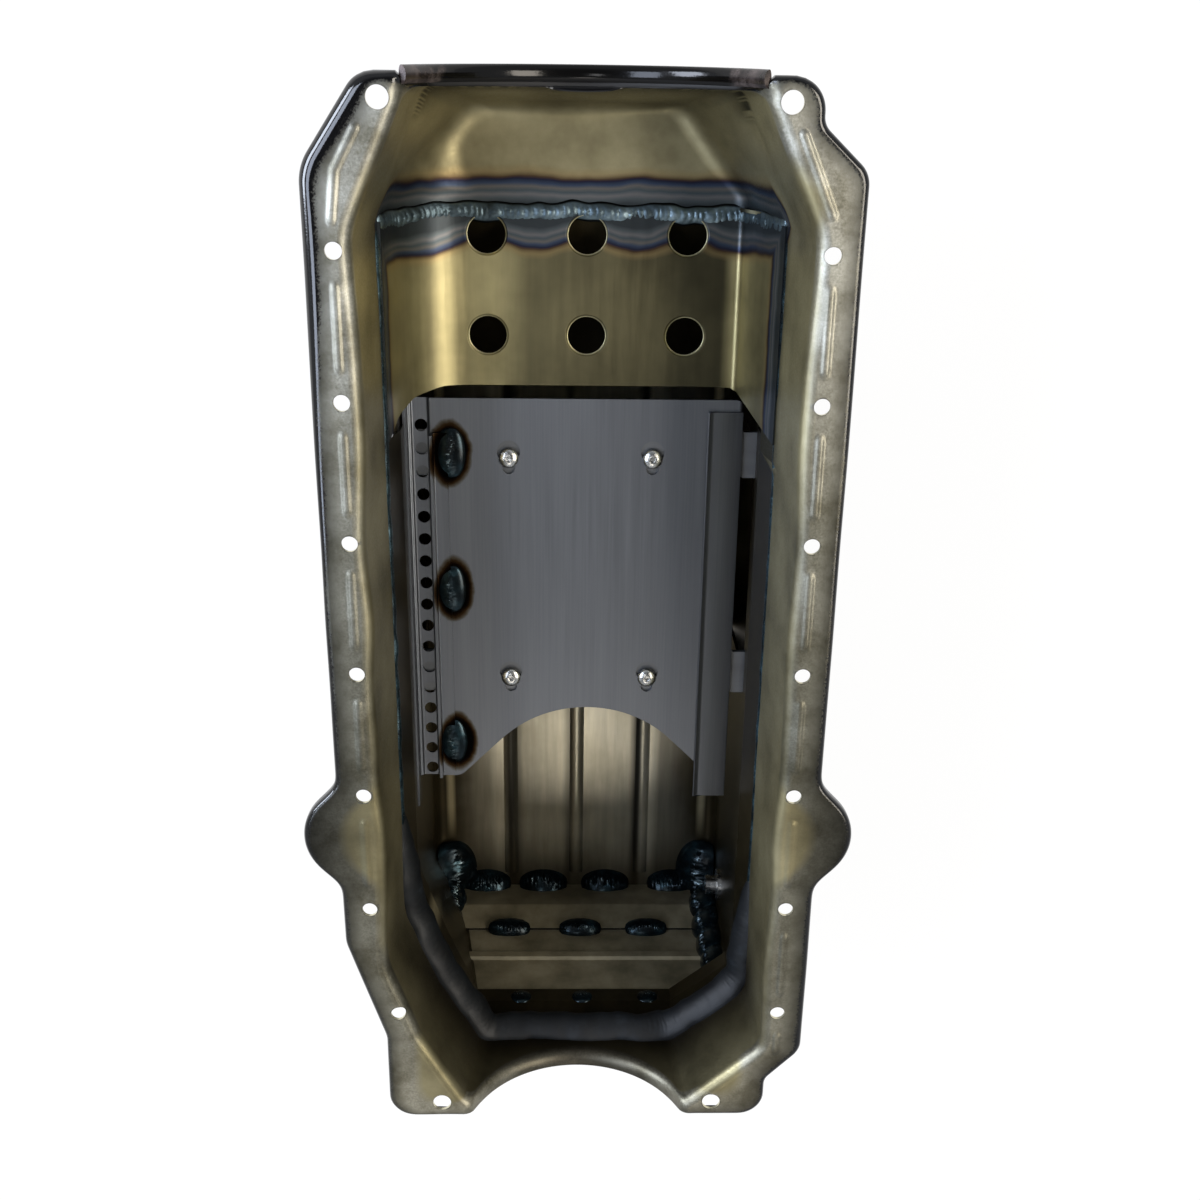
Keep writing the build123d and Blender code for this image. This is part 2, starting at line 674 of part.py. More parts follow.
def sump_front_wall():
    """Sloping panel between the trough's cheeks, from the floor up to the seam."""
    body = slope_cutter(sheet) - slope_cutter(0)
    body = body & sump_volume(0)
    return body - baffle_backing()


def rear_wall_path():
    """Inside face of the rear panel, from its top edge down, with one pressed stiffening bead."""
    bulge = sump_rear_y + sheet
    return [(sump_rear_y, lap_z, 0), (sump_rear_y, rear_bead_z + 4.5, 1), (bulge, rear_bead_z + 2.5, 1),
            (bulge, rear_bead_z - 2.5, 1), (sump_rear_y, rear_bead_z - 4.5, 1), (sump_rear_y, 0, 0)]


def sump_rear_wall():
    """Rear panel, trimmed to the ends of the trough's facets."""
    body = along(strip_face(rear_wall_path(), sheet), -sump_half_width, sump_half_width)
    foot, head, right = sump_floor_left[2][0], sump_top_left[2][0], sump_right[0][0]
    edge = [(foot - sheet, 0, 0), (right + sheet, 0, 0), (right + sheet, lap_z, 0),
            (head - sheet, lap_z, 0), (head - sheet, collar_z, 0)]
    body = body & across(Face(rounded(edge)), rear_y, sump_rear_y + over)
    flat = block((-sump_half_width, sump_half_width), (rear_y, sump_rear_y), (0, gasket_z))
    return (body & flat) + (body & sump_volume(0))


def rear_angle_path():
    """Front face of the angle strip, from its top edge on the rear wall down to the floor."""
    return [(sump_rear_y + sheet, strip_top_z, 0), (sump_rear_y + strip_fold_reach, strip_fold_z, 2.5),
            (sump_rear_y + sheet + 1.5, sheet, 0)]


def rear_angle_strip():
    """Folded strip that stiffens the joint of floor and rear wall, its ends cut to the walls."""
    return along(strip_face(rear_angle_path(), sheet), *strip_ends) & sump_volume(0)


def corner_gusset():
    """Small plate that closes the sump's right rear corner under the ring's chamfer."""
    (left_x, left_y), (right_x, right_y) = ring_right
    corner = [(left_x, left_y, 0), (*sump_right[0], 2), (*sump_right[1], 8), (right_x, right_y, 0)]
    plate = plan_prism(corner, collar_z, collar_z + sheet)
    return plate & (sump_volume(0) - collar_volume(sheet))


def kickout(side):
    """Folded box over a window: outer wall, two slanted ends, top and bottom, open to the sump."""
    rear = kickout_right_rear_y if side > 0 else kickout_left_rear_y
    near = sump_half_width + sheet
    edge = [(side * near, kickout_front_y, 0), (side * near, rear, 0),
            (side * kickout_reach, rear + kickout_rake, kickout_bend),
            (side * kickout_reach, kickout_front_y - kickout_rake, kickout_bend)]
    if side < 0:
        edge = edge[::-1]
    top = gasket_z - kickout_drop
    body = plan_prism(edge, 0, top) - plan_prism(edge, sheet, top - sheet, -sheet)
    return body - block((side * (near - 1), side * (near + sheet)),
                        (rear + 2 * sheet, kickout_front_y - 2 * sheet), (sheet, top - sheet))


# ---- tray and what carries it -------------------------------------------------------------
def screw_places():
    """The four tray screws, as (x, y)."""
    return [(x, y - off) for x in screw_x for y, off in zip(crossbar_y, screw_off_bar)]


def crossbar(y):
    """Flat bar across the sump under the tray, butted against the walls over the windows."""
    top = tray_z - tray_sheet
    side_y = (y - crossbar_width / 2, y + crossbar_width / 2)
    body = block((-sump_half_width, sump_half_width), side_y, (top - crossbar_sheet, top))
    body -= block((channel_left - 3, channel_right + 3), side_y, (top - channel_drop, top + over))
    body -= block((tray_right - 2 * tray_sheet, tray_right + 1), side_y, (tray_z - tray_hem, top + over))
    for x, screw_y in screw_places():
        body -= bored(x, screw_y, screw_diameter + screw_clearance, top - over, top + over)
    return body


def tray_section():
    """Upper face of the tray from the upright left edge to the turned-down right edge."""
    low = tray_z - channel_drop
    return [(tray_left, tray_z + tray_lip_height, 0), (tray_left, tray_z, 1.0),
            (channel_left - 1, tray_z, 1.0), (channel_left, low, 1.0), (channel_right, low, 1.0),
            (channel_right + 1, tray_z, 1.0), (tray_right, tray_z, 2.0), (tray_right, tray_z - tray_hem, 0)]


def tray_outline():
    """Plan of the tray: the rear edge has a rounded relief for the oil pickup."""
    left = tray_left - tray_sheet
    apex_y = relief_apex_y + relief_radius * (sqrt(2) - 1)
    spread = apex_y - tray_rear_y
    return [(left, tray_front_y, 2), (left, tray_lip_rear_y, 0), (tray_left, tray_lip_rear_y, 0),
            (tray_left, tray_rear_y, 0), (relief_x - spread, tray_rear_y, 8),
            (relief_x, apex_y, relief_radius), (relief_x + spread, tray_rear_y, 3),
            (tray_right, tray_rear_y, 2), (tray_right, tray_front_y, 4)]


def windage_tray():
    """Folded tray with an upright left edge, a shallow drip channel and a turned-down right edge."""
    body = across(strip_face(tray_section(), tray_sheet), tray_lip_rear_y - 1, tray_front_y + 1)
    body = body & plan_prism(tray_outline(), tray_z - over, tray_z + over)
    first, last = drip_hole_y
    for row in range(drip_hole_count):
        y = first + (last - first) * row / (drip_hole_count - 1)
        body -= bored(drip_hole_x, y, drip_hole_diameter, tray_z - over, tray_z + over)
    for x, y in screw_places():
        body -= bored(x, y + keyhole_lift, keyhole_diameter, tray_z - over, tray_z + over)
        body -= bored(x, y - keyhole_fall, keyhole_slot, tray_z - over, tray_z + over)
        body -= block((x - keyhole_slot / 2, x + keyhole_slot / 2), (y - keyhole_fall, y + keyhole_lift),
                      (tray_z - over, tray_z + over))
    return body


def tray_screws():
    """Four button-head screws, each with a hexagon socket."""
    profile = Pos(0, 0, tray_z) * (Cylinder(screw_head_diameter / 2, screw_head_height,
                                            align=(Align.CENTER, Align.CENTER, Align.MIN)))
    crown = profile.faces().sort_by(Axis.Z)[-1]
    profile = chamfer(crown.edges(), screw_head_height / 2)
    socket = Pos(0, 0, tray_z + screw_head_height) * extrude(
        RegularPolygon(screw_socket / 2, 6, major_radius=False), -screw_head_height / 2)
    shank = bored(0, 0, screw_diameter, tray_z - screw_length, tray_z + 0.5)
    screw = profile + shank - socket
    return [Pos(x, y, 0) * screw for x, y in screw_places()]


def tray_nuts():
    """Four hexagon nuts welded under the crossbars."""
    top = tray_z - tray_sheet - crossbar_sheet
    hexagon = RegularPolygon(nut_flats / 2, 6, major_radius=False)
    nut = Pos(0, 0, top - nut_height) * extrude(hexagon, nut_height)
    nut -= bored(0, 0, screw_diameter + screw_clearance, top - over, top + over)
    return [Pos(x, y, 0) * nut for x, y in screw_places()]


def left_scraper():
    """Angle on the tray: an upright leg beside the drip channel and a foot welded to the tray."""
    x = left_scraper_x + tray_sheet
    path = [(x, tray_z + left_scraper_height, 0), (x, tray_z + tray_sheet, 0.5),
            (left_scraper_x + left_scraper_foot, tray_z + tray_sheet, 0)]
    return across(strip_face(path, tray_sheet), left_scraper_y[1], left_scraper_y[0])


def right_scraper():
    """Flat strip along the tray's right edge, with its inner edge raised towards the crankshaft."""
    inner, outer = right_scraper_x
    path = [(inner, tray_z + tray_sheet + right_scraper_rise, 0), (inner + 3.5, tray_z + tray_sheet, 1.5),
            (outer, tray_z + tray_sheet, 0)]
    return across(strip_face(path, tray_sheet), right_scraper_y[1], right_scraper_y[0])


# ---- welds --------------------------------------------------------------------------------
def blob(x, y, z, size):
    """Rounded lump of weld metal, size across x, y and z."""
    return Pos(x, y, z) * scale(Sphere(1), by=tuple(s / 2 for s in size))


def tray_tacks():
    """Three long tacks that hold the left scraper's foot to the tray."""
    angle = left_scraper()
    tacks = []
    for y in tack_y:
        tack = blob(tack_x, y, tray_z, tack_size)
        tack -= block((-wide, 0), (y - over, y + over), (tray_z - over, tray_z))
        tacks.append(tack - angle)
    return tacks


def floor_tacks():
    """Four tacks between the floor and the foot of the angle strip."""
    front = rear_angle_path()[1:][::-1]
    corners = [(y, z, 0) for y, z, _ in front]
    corners += [(sump_rear_y + 3 * over, strip_fold_z, 0), (sump_rear_y + 3 * over, sheet, 0)]
    clear = along(Face(rounded(corners)), -sump_half_width, sump_half_width)
    return [blob(x, corners[0][0] + 2, sheet + 1, floor_tack_size) & clear for x in floor_tack_x]


def wall_tacks():
    """Three tacks between the strip's upper edge and the rear wall."""
    strip = rear_angle_strip()
    clear = block((-wide, wide), (sump_rear_y, 0), (0, gasket_z))
    return [(blob(x, sump_rear_y + sheet, strip_top_z + 1, wall_tack_size) & clear) - strip
            for x in wall_tack_x]


def plug_welds():
    """Three plug welds through the ring into the sump's rear wall."""
    face_y = sump_rear_y + sheet
    clear = block((-wide, wide), (face_y, 0), (0, lap_z))
    size = (plug_weld_diameter, 2 * plug_weld_height, plug_weld_diameter)
    return [blob(x, face_y, lap_z - plug_weld_diameter / 2, size) & clear for x in plug_weld_x]


def seam_bead():
    """Bead across the pan where the shallow floor meets the baffle plate."""
    raised = shifted(baffle_path(), -seam_bead_height, False)
    half = seam_bead_width / 2
    rear = across(strip_face(raised, seam_bead_height), seam_y - half, seam_y)
    front = across(strip_face(raised, seam_bead_height), seam_y, seam_y + half)
    return rear + (front & shallow_volume(0))


def wall_bead(width, height, y_range, left):
    """Bead along the seam on the inside of the walls between two y values."""
    z = (seam_z - width / 2, seam_z + width / 2)
    band = plan_prism(seam_outline(), *z, 1) - plan_prism(seam_outline(), *z, -height)
    x = (-wide, 0) if left else (0, wide)
    band = band & block(x, y_range, z)
    below = collar_volume(0) & block((-wide, wide), (rear_y, baffle_side_y), (0, gasket_z))
    closed = baffle_path() + [(seam_half_width, gasket_z, 0), (-seam_half_width, gasket_z, 0)]
    above_plate = across(Face(rounded(closed)), baffle_side_y, seam_y)
    return (band & well_volume(0)) + (band & below) + (band & above_plate)


def corner_weld(side):
    """Heavy weld up a rear corner of the sump, swollen at the floor."""
    index = 0 if side < 0 else 1
    x = side * (sump_half_width - corner_weld_in[index])
    y = sump_rear_y + corner_weld_off_rear
    top = collar_z - corner_weld_drop[index]
    foot = (x + side * corner_foot_shift[0], y + corner_foot_shift[1])
    body = bored(x, y, 2 * corner_weld_radius, sheet, top)
    body += blob(x, y, top, (2 * corner_weld_radius, 2 * corner_weld_radius, corner_weld_radius))
    body += blob(foot[0], foot[1], sheet, corner_foot_size)
    inside = sump_volume(0) & block((-wide, wide), (sump_rear_y, 0), (sheet, gasket_z))
    beside = block((strip_ends[index], side * wide), (rear_y, 0), (0, gasket_z))
    bored_out = drain_axis(plug_diameter, -over, over) + drain_axis(bung_diameter, -bung_inside, over)
    return (body & inside & beside) - bored_out - sump_rear_wall()


# ---- drain --------------------------------------------------------------------------------
def drain_axis(diameter, start, end):
    """Cylinder on the drain's axis, between two distances out from the wall's inside face."""
    middle = sump_half_width + (start + end) / 2
    return Pos(middle, drain_y, drain_z) * Rot(0, 90, 0) * Cylinder(diameter / 2, end - start)


def drain_bung():
    """Threaded boss welded through the right wall, low at the rear."""
    end = bung_length - bung_inside
    return drain_axis(bung_diameter, -bung_inside, end) - drain_axis(plug_diameter, -over, over)


def drain_washer():
    start = bung_length - bung_inside
    ring = drain_axis(washer_diameter, start, start + washer_thickness)
    return ring - drain_axis(plug_diameter, -over, over)


def drain_plug():
    """Hexagon-headed plug with a washer face under its head."""
    seat = bung_length - bung_inside + washer_thickness
    shank = drain_axis(plug_diameter, -plug_inside, seat)
    collar = drain_axis(plug_head_flats, seat, seat + 1)
    hexagon = Pos(sump_half_width + seat + 1, drain_y, drain_z) * Rot(0, 90, 0) * extrude(
        RegularPolygon(plug_head_flats / 2, 6, major_radius=False), plug_head_height - 1)
    return shank + collar + hexagon


# ---- the assembly -------------------------------------------------------------------------
def seam_welds():
    """Beads along the inside of the walls: two along the sides and the heavy one round the rear."""
    side_end = {"left": well_rear_left[0][1], "right": rear_weld_right_y}
    front_end = seam_y - seam_bead_width / 2
    left, right = ((side_end["left"], front_end), (side_end["right"], front_end))
    rear = wall_bead(rear_bead_width, rear_bead_height, (rear_y, left[0]), True)
    rear += wall_bead(rear_bead_width, rear_bead_height, (rear_y, right[0]), False)
    return {
        "left_seam_weld": wall_bead(side_bead_width, seam_bead_height, left, True),
        "right_seam_weld": wall_bead(side_bead_width, seam_bead_height, right, False),
        "rear_seam_weld": rear}


def build():
    parts = {
        "rail_stamping": rail_stamping(),
        "front_seal_lip": front_seal_lip(),
        "baffle_plate": baffle_plate(),
        "sump_collar": sump_collar(),
        "corner_gusset": corner_gusset(),
        "sump_trough": sump_trough(),
        "sump_front_wall": sump_front_wall(),
        "sump_rear_wall": sump_rear_wall(),
        "rear_angle_strip": rear_angle_strip(),
        "kickout_left": kickout(-1),
        "kickout_right": kickout(1),
        "crossbar_front": crossbar(crossbar_y[0]),
        "crossbar_rear": crossbar(crossbar_y[1]),
        "windage_tray": windage_tray(),
        "left_scraper": left_scraper(),
        "right_scraper": right_scraper(),
        "tray_screws": tray_screws(),
        "tray_nuts": tray_nuts(),
        "tray_tack_welds": tray_tacks(),
        "floor_tack_welds": floor_tacks(),
        "wall_tack_welds": wall_tacks(),
        "plug_welds": plug_welds(),
        "front_seam_weld": seam_bead(),
        "left_corner_weld": corner_weld(-1),
        "right_corner_weld": corner_weld(1),
        "drain_bung": drain_bung(),
        "drain_washer": drain_washer(),
        "drain_plug": drain_plug(),
    }
    parts.update(seam_welds())
    return parts


if __name__ == "__main__":
    os.makedirs("parts", exist_ok=True)
    for name, shape in build().items():
        solids = [s for item in (shape if isinstance(shape, list) else [shape]) for s in item.solids()]
        result = solids[0] if len(solids) == 1 else Compound(children=solids)
        print(name, len(solids), round(result.volume), result.is_valid)
        export_step(result, "parts/" + name + ".step")
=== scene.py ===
from functools import partial

import bmesh
import bpy
import numpy as np
from mathutils import Matrix


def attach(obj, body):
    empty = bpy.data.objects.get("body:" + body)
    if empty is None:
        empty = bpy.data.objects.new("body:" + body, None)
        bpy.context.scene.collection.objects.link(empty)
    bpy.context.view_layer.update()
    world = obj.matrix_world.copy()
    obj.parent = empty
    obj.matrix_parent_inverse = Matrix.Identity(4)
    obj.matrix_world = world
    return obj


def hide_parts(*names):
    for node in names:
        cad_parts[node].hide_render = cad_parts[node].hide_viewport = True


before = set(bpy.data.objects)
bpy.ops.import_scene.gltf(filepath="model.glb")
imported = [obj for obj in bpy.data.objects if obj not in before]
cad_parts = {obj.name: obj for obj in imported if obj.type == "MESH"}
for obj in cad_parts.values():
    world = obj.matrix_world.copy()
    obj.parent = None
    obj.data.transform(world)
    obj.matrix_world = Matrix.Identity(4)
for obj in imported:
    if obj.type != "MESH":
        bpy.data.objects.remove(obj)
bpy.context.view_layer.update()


# Studio. A matt white table in a dim white tent, lit by a large softbox at each side, with small ones
# overhead and at the rear and a low one at the left, whose streak the pan's black rim mirrors.
def linear(code):
    """sRGB hex code to linear colour: each channel through the sRGB curve."""
    rgb = np.array([int(code[i:i + 2], 16) for i in (1, 3, 5)]) / 255
    return (*np.where(rgb <= 0.04045, rgb / 12.92, ((rgb + 0.055) / 1.055) ** 2.4), 1.0)


def put_in(tree, kind, sockets=(), stops=(), **settings):
    """Adds a node or sets one. A dict fills inputs by name and a list fills those in use from the top, each
    with a value, a colour code, a socket or a node's output in use; a ramp gets its stops in order."""
    made = tree.nodes.new("ShaderNode" + kind) if isinstance(kind, str) else kind
    for name, value in settings.items():
        setattr(made, name, value)
    for count, (place, code) in enumerate(stops):
        stop = made.color_ramp.elements[count] if count < 2 else made.color_ramp.elements.new(place)
        stop.position, stop.color = place, linear(code)
    named = isinstance(sockets, dict)
    filled = [made.inputs[name] for name in sockets] if named else [i for i in made.inputs if i.enabled]
    for socket, value in zip(filled, sockets.values() if named else sockets):
        if isinstance(value, bpy.types.Node):
            value = next(output for output in value.outputs if output.enabled)
        if isinstance(value, bpy.types.NodeSocket):
            tree.links.new(value, socket)
        else:
            socket.default_value = linear(value) if isinstance(value, str) else value
    return made


def finish_named(name):
    """A new material, put_in for its own tree, its shader and its Object coordinates."""
    made = bpy.data.materials.new(name)
    made.use_nodes = True
    put = partial(put_in, made.node_tree)
    return made, put, made.node_tree.nodes["Principled BSDF"], put("TexCoord").outputs["Object"]


def quads(rows, columns, closed):
    """Corner numbers of the quads over a grid; closed joins the last row to the first."""
    row = np.arange(rows if closed else rows - 1)[:, None]
    column = np.arange(columns - 1)
    first = row * columns + column
    after = (row + 1) % rows * columns + column
    return np.stack([first, after, after + 1, first + 1], -1).reshape(-1, 4)


def piece(name, grids, finishes, closed=False, marks=None):
    """One object from grids of points in mm, each (rows, columns, 3); marks are values for each point."""
    faces, points, start = [], [], 0
    for grid in grids:
        faces.append(quads(grid.shape[0], grid.shape[1], closed) + start)
        points.append(grid.reshape(-1, 3))
        start += grid.shape[0] * grid.shape[1]
    mesh = bpy.data.meshes.new(name)
    mesh.from_pydata(np.concatenate(points) / 1000, [], np.concatenate(faces).tolist())
    for mark, values in (marks or {}).items():
        layer = mesh.attributes.new(mark, "FLOAT", "POINT")
        layer.data.foreach_set("value", np.concatenate([v.ravel() for v in values]).astype(np.float32))
    for finish in finishes:
        mesh.materials.append(finish)
    made = bpy.data.objects.new(name, mesh)
    bpy.context.collection.objects.link(made)
    return made


table_paint, put, shader, spot = finish_named("matt_white_table")
path = put("LightPath")
seen = put("Math", [path.outputs["Is Camera Ray"], path.outputs["Is Glossy Ray"]], operation="MAXIMUM")
share = put("Math", [seen, 0.93], operation="MULTIPLY")
put(shader, {"Base Color": "#f4f4f4", "Roughness": 0.9, "Specular IOR Level": 0.0})
glow = put("Emission", {"Color": "#ffffff", "Strength": 1.0})
mixed = put("MixShader", [share, shader, glow])
put(table_paint.node_tree.nodes["Material Output"], {"Surface": mixed})
side = np.array([-6000, 0, 6000])
table_rows = np.stack(np.meshgrid(side, side, indexing="ij") + [np.zeros((3, 3))], -1)
table = piece("table", [table_rows], [table_paint])

eased = {"interpolation_type": "SMOOTHSTEP"}
world = bpy.data.worlds.new("tent")
world.use_nodes = True
bpy.context.scene.world = world
put = partial(put_in, world.node_tree)
path = put("LightPath")
spot = put("TexCoord").outputs["Generated"]
at_x, at_y, at_z = put("SeparateXYZ", [spot]).outputs
height = put("MapRange", [at_z, 0.55, 0.97, 0.62, 0.11], **eased)
tent = put("Background", {"Color": "#e9edf2", "Strength": height})
backdrop = put("Background", {"Color": "#ffffff", "Strength": 1.0})
mixed = put("MixShader", [path.outputs["Is Camera Ray"], tent, backdrop])
put(world.node_tree.nodes["World Output"], {"Surface": mixed})

for name, place, aim, size, power, tint in (
        ("softbox_over", (-0.17, -0.06, 1.5), (-0.05, 0.1, 0.1), (0.14, 0.45), 0.8, "#ffffff"),
        ("softbox_left", (-0.95, 0.15, 1.35), (0, 0.05, 0.15), (0.5, 1.3), 19, "#dfeaff"),
        ("softbox_right", (0.95, 0.1, 1.35), (0, 0, 0.1), (0.5, 1.2), 21, "#fff6e8"),
        ("softbox_rear", (0.0, -1.06, 1.5), (0, -0.17, 0), (0.35, 0.5), 2.3, "#fff8ee"),
        ("softbox_low_left", (-1.5, 0.5, 0.75), (-0.1, 0.1, 0.2), (0.62, 1.0), 38, "#e6efff")):
    lamp = bpy.data.lights.new(name, "AREA")
    lamp.shape, lamp.size, lamp.size_y, lamp.energy = "RECTANGLE", *size, power
    lamp.color = linear(tint)[:3]
    holder = bpy.data.objects.new(name, lamp)
    away = np.array(place) - np.array(aim)
    away /= np.linalg.norm(away)
    across = np.cross((0, 1, 0), away)
    across /= np.linalg.norm(across)
    turn = Matrix(np.column_stack([across, np.cross(away, across), away]).tolist()).to_4x4()
    holder.matrix_world = Matrix.Translation(place) @ turn
    bpy.context.collection.objects.link(holder)

# camera: 42.3 mm lens above the front end, tipped back 22 degrees from straight down
lens = bpy.data.cameras.new("camera")
lens.lens, lens.sensor_width, lens.clip_start = 42.33, 36.0, 0.01
camera = bpy.data.objects.new("camera", lens)
turn = Matrix(((0.99972609, -0.00486972, -0.02289168), (0.01302392, 0.92843076, 0.37127712),
               (0.01944532, -0.37147357, 0.92823988)))
camera.matrix_world = Matrix.Translation((-0.006236, 0.27772, 0.808418)) @ turn.to_4x4()
bpy.context.collection.objects.link(camera)
bpy.context.scene.camera = camera
bpy.context.scene.view_settings.view_transform = "Standard"


# Rail pressing. One sheet of 1.6 mm deep-drawn mild steel: a bolted rail with a turned-down rim and two
# ears, well walls, seats for the end seals and the shallow front bowl. Oiled bare steel inside, gloss
# black outside with its overspray round the rim.
gasket_z, seam_z, bowl_z, sheet = 202.0, 145.0, 102.5, 1.6
weld_y = 197.5
front_seat, rear_seat = (75, 58), (57, 40)  # half width and depth of the two seal seats
mouth_corners = [(-73.5, 257.5, 6), (-98, 199.5, 30), (-98, -170, 30), (-84, -213, 30), (-59, -257.5, 8),
                 (59, -257.5, 8), (98, -222, 14), (98, 199.5, 30), (73.5, 257.5, 6)]
seam_corners = [(-70, 256.5, 6), (-94.5, 199.5, 30), (-94.5, -172, 30), (-76.5, -216.5, 30),
                (-53, -257.5, 10), (53, -257.5, 10), (94.5, -222, 14), (94.5, 199.5, 30), (70, 256.5, 6)]
bowl_corners = [(-52, 247.5, 16), (-93.5, 206, 22), *seam_corners[2:6], (79, -222, 14), (78.5, 207, 10),
                (47, 247.5, 12)]
rail_corners = [(-93.5, 264, 14), (-119.4, 226, 24), (-119.4, -155, 20), (-101.3, -214, 18),
                (-101.3, -266, 13), (101.3, -266, 13), (101.3, -243, 8), (119.4, -223.5, 12),
                (119.4, 226, 12), (98.9, 245, 8), (98.9, 264, 14)]
ear_y, ear_x, ear_radius = -92.5, 108.8, 28.0


def unit(v):
    return v / np.linalg.norm(v, axis=-1, keepdims=True)


def corner_path(corners, arc_steps, line_steps):
    """Closed outline: each corner's arc in equal angles, then the straight to the next in equal lengths."""
    corners = np.array(corners, float)
    points, radius = corners[:, :2], corners[:, 2:]
    back, ahead = unit(np.roll(points, 1, 0) - points), unit(np.roll(points, -1, 0) - points)
    half = np.arccos(np.clip((back * ahead).sum(1, keepdims=True), -1, 1)) / 2
    start, end = points + back * radius / np.tan(half), points + ahead * radius / np.tan(half)
    centre = points + unit(back + ahead) * radius / np.sin(half)
    runs = []
    for i in range(len(corners)):
        first, last = (np.arctan2(*(p - centre[i])[::-1]) for p in (start[i], end[i]))
        sweep = (last - first + np.pi) % (2 * np.pi) - np.pi
        angle = first + sweep * np.arange(arc_steps[i]) / arc_steps[i]
        runs.append(centre[i] + radius[i] * np.stack([np.cos(angle), np.sin(angle)], 1))
        share = np.arange(line_steps[i])[:, None] / line_steps[i]
        runs.append(end[i] * (1 - share) + start[(i + 1) % len(corners)] * share)
    return np.concatenate(runs)


def reach(origin, way, outline):
    """Distance from each origin along its way to the closed outline: the nearest crossing ahead."""
    edge_x, edge_y = (np.roll(outline, -1, 0) - outline).T
    way_x, way_y = way.T[..., None]
    gap_x, gap_y = (outline[None] - origin[:, None]).transpose(2, 0, 1)
    cross = way_x * edge_y - way_y * edge_x
    cross = np.where(cross == 0, 1e-9, cross)
    far, along = (gap_x * edge_y - gap_y * edge_x) / cross, (gap_x * way_y - gap_y * way_x) / cross
    return np.where((along >= 0) & (along <= 1) & (far > 0.5), far, 1e9).min(1)


def smoothed(values, window, mode):
    """A moving average: the values, padded by half the window at each end, convolved with its shares."""
    return np.convolve(np.pad(values, len(window) // 2, mode=mode), window / window.sum(), "valid")


def ease(low, high, value):
    """Smooth step from 0 at low to 1 at high."""
    t = np.clip((value - low) / (high - low), 0, 1)
    return t * t * (3 - 2 * t)


def seat_line(x, half, depth, blend=7.0):
    """Height of the rail line dipping into a seal seat: a level run, a bend and the seat's own arc."""
    radius = (half ** 2 + depth ** 2) / (2 * depth)
    centre, crest_z = gasket_z - depth + radius, gasket_z - blend
    crest_x = np.sqrt((radius + blend) ** 2 - (centre - crest_z) ** 2)
    touch = crest_x * radius / (radius + blend)
    x = np.abs(x)
    bend = crest_z + np.sqrt(np.clip(blend ** 2 - (crest_x - x) ** 2, 0, None))
    arc = centre - np.sqrt(np.clip(radius ** 2 - x ** 2, 0, None))
    return np.where(x >= crest_x, gasket_z, np.where(x > touch, bend, arc))


def rail_level(x, y):
    """Height of the rail's upper face: flat, but for the two seats and the pressed beads."""
    front = (gasket_z - seat_line(x, *front_seat)) * ease(251, 257, y)
    rear = (gasket_z - seat_line(x, *rear_seat)) * ease(-251, -257, y)
    off = np.full(np.shape(x), 1e9)
    for from_x, from_y, to_x, to_y in rail_beads:
        run_x, run_y = to_x - from_x, to_y - from_y
        along = ((x - from_x) * run_x + (y - from_y) * run_y) / (run_x ** 2 + run_y ** 2)
        along = np.clip(along, 0, 1)
        off = np.minimum(off, np.hypot(x - from_x - along * run_x, y - from_y - along * run_y))
    return gasket_z - front - rear + 0.8 * ease(2.5, 0.6, off)


rail_beads = [(-94.1, 241.6, -103.2, 225), (-103.2, 225, -105.6, 205), (90.1, 241, 104.1, 209),
              (105.6, -150.6, 105.6, -185.4), (105.6, -213.2, 105.6, -223.0)]
bolt_x, bolt_pitch, bead_x = 105.5, 65.3, 105.6
rail_beads += [(side * bead_x, -118.8 + bolt_pitch * i, side * bead_x, -84.1 + bolt_pitch * i)
               for side in (-1, 1) for i in range(5)]
steps = ([10, 14, 8, 8, 12, 12, 14, 14, 10], [60, 280, 30, 32, 60, 36, 300, 60, 72])
mouth = corner_path(mouth_corners, *steps)
seam = corner_path(seam_corners, *steps)
bowl = corner_path(bowl_corners, *steps)
rail = corner_path(rail_corners, [12] * 11, [12, 40, 24, 12, 40, 12, 12, 60, 12, 12, 24])
tangent = unit(np.roll(mouth, -1, 0) - np.roll(mouth, 1, 0))
outward = np.stack([tangent[:, 1], -tangent[:, 0]], 1)
x, y = mouth.T

# the drawn mouth isn't quite straight: it pulls in between the bolts, as (y, how far out) along each side
wave_left = np.array([(250, 0), (190, .8), (150, -1.4), (105, -2), (60, 1.3), (22, -2), (-10, .7),
                      (-42, -.5), (-63, .4), (-88, -2.1), (-115, -1.8), (-155, .6), (-200, 0)])[::-1].T
wave_right = np.array([(250, 0), (185, 1.7), (140, -1), (105, -1.7), (60, 1.1), (12, -.8), (-25, .7),
                       (-60, 1.3), (-95, -1.7), (-130, .8), (-170, -1.9), (-208, 0)])[::-1].T
knots = np.linspace(-210, 252, 93)
soft_9 = np.exp(-np.linspace(-2, 2, 9) ** 2)
sway_left, sway_right = (np.interp(y, knots, smoothed(np.interp(knots, *wave), soft_9, "edge"))
                         for wave in (wave_left, wave_right))
sway = np.where(x < 0, sway_left, sway_right) * (np.abs(x) > 60)
base = mouth + outward * sway[:, None]

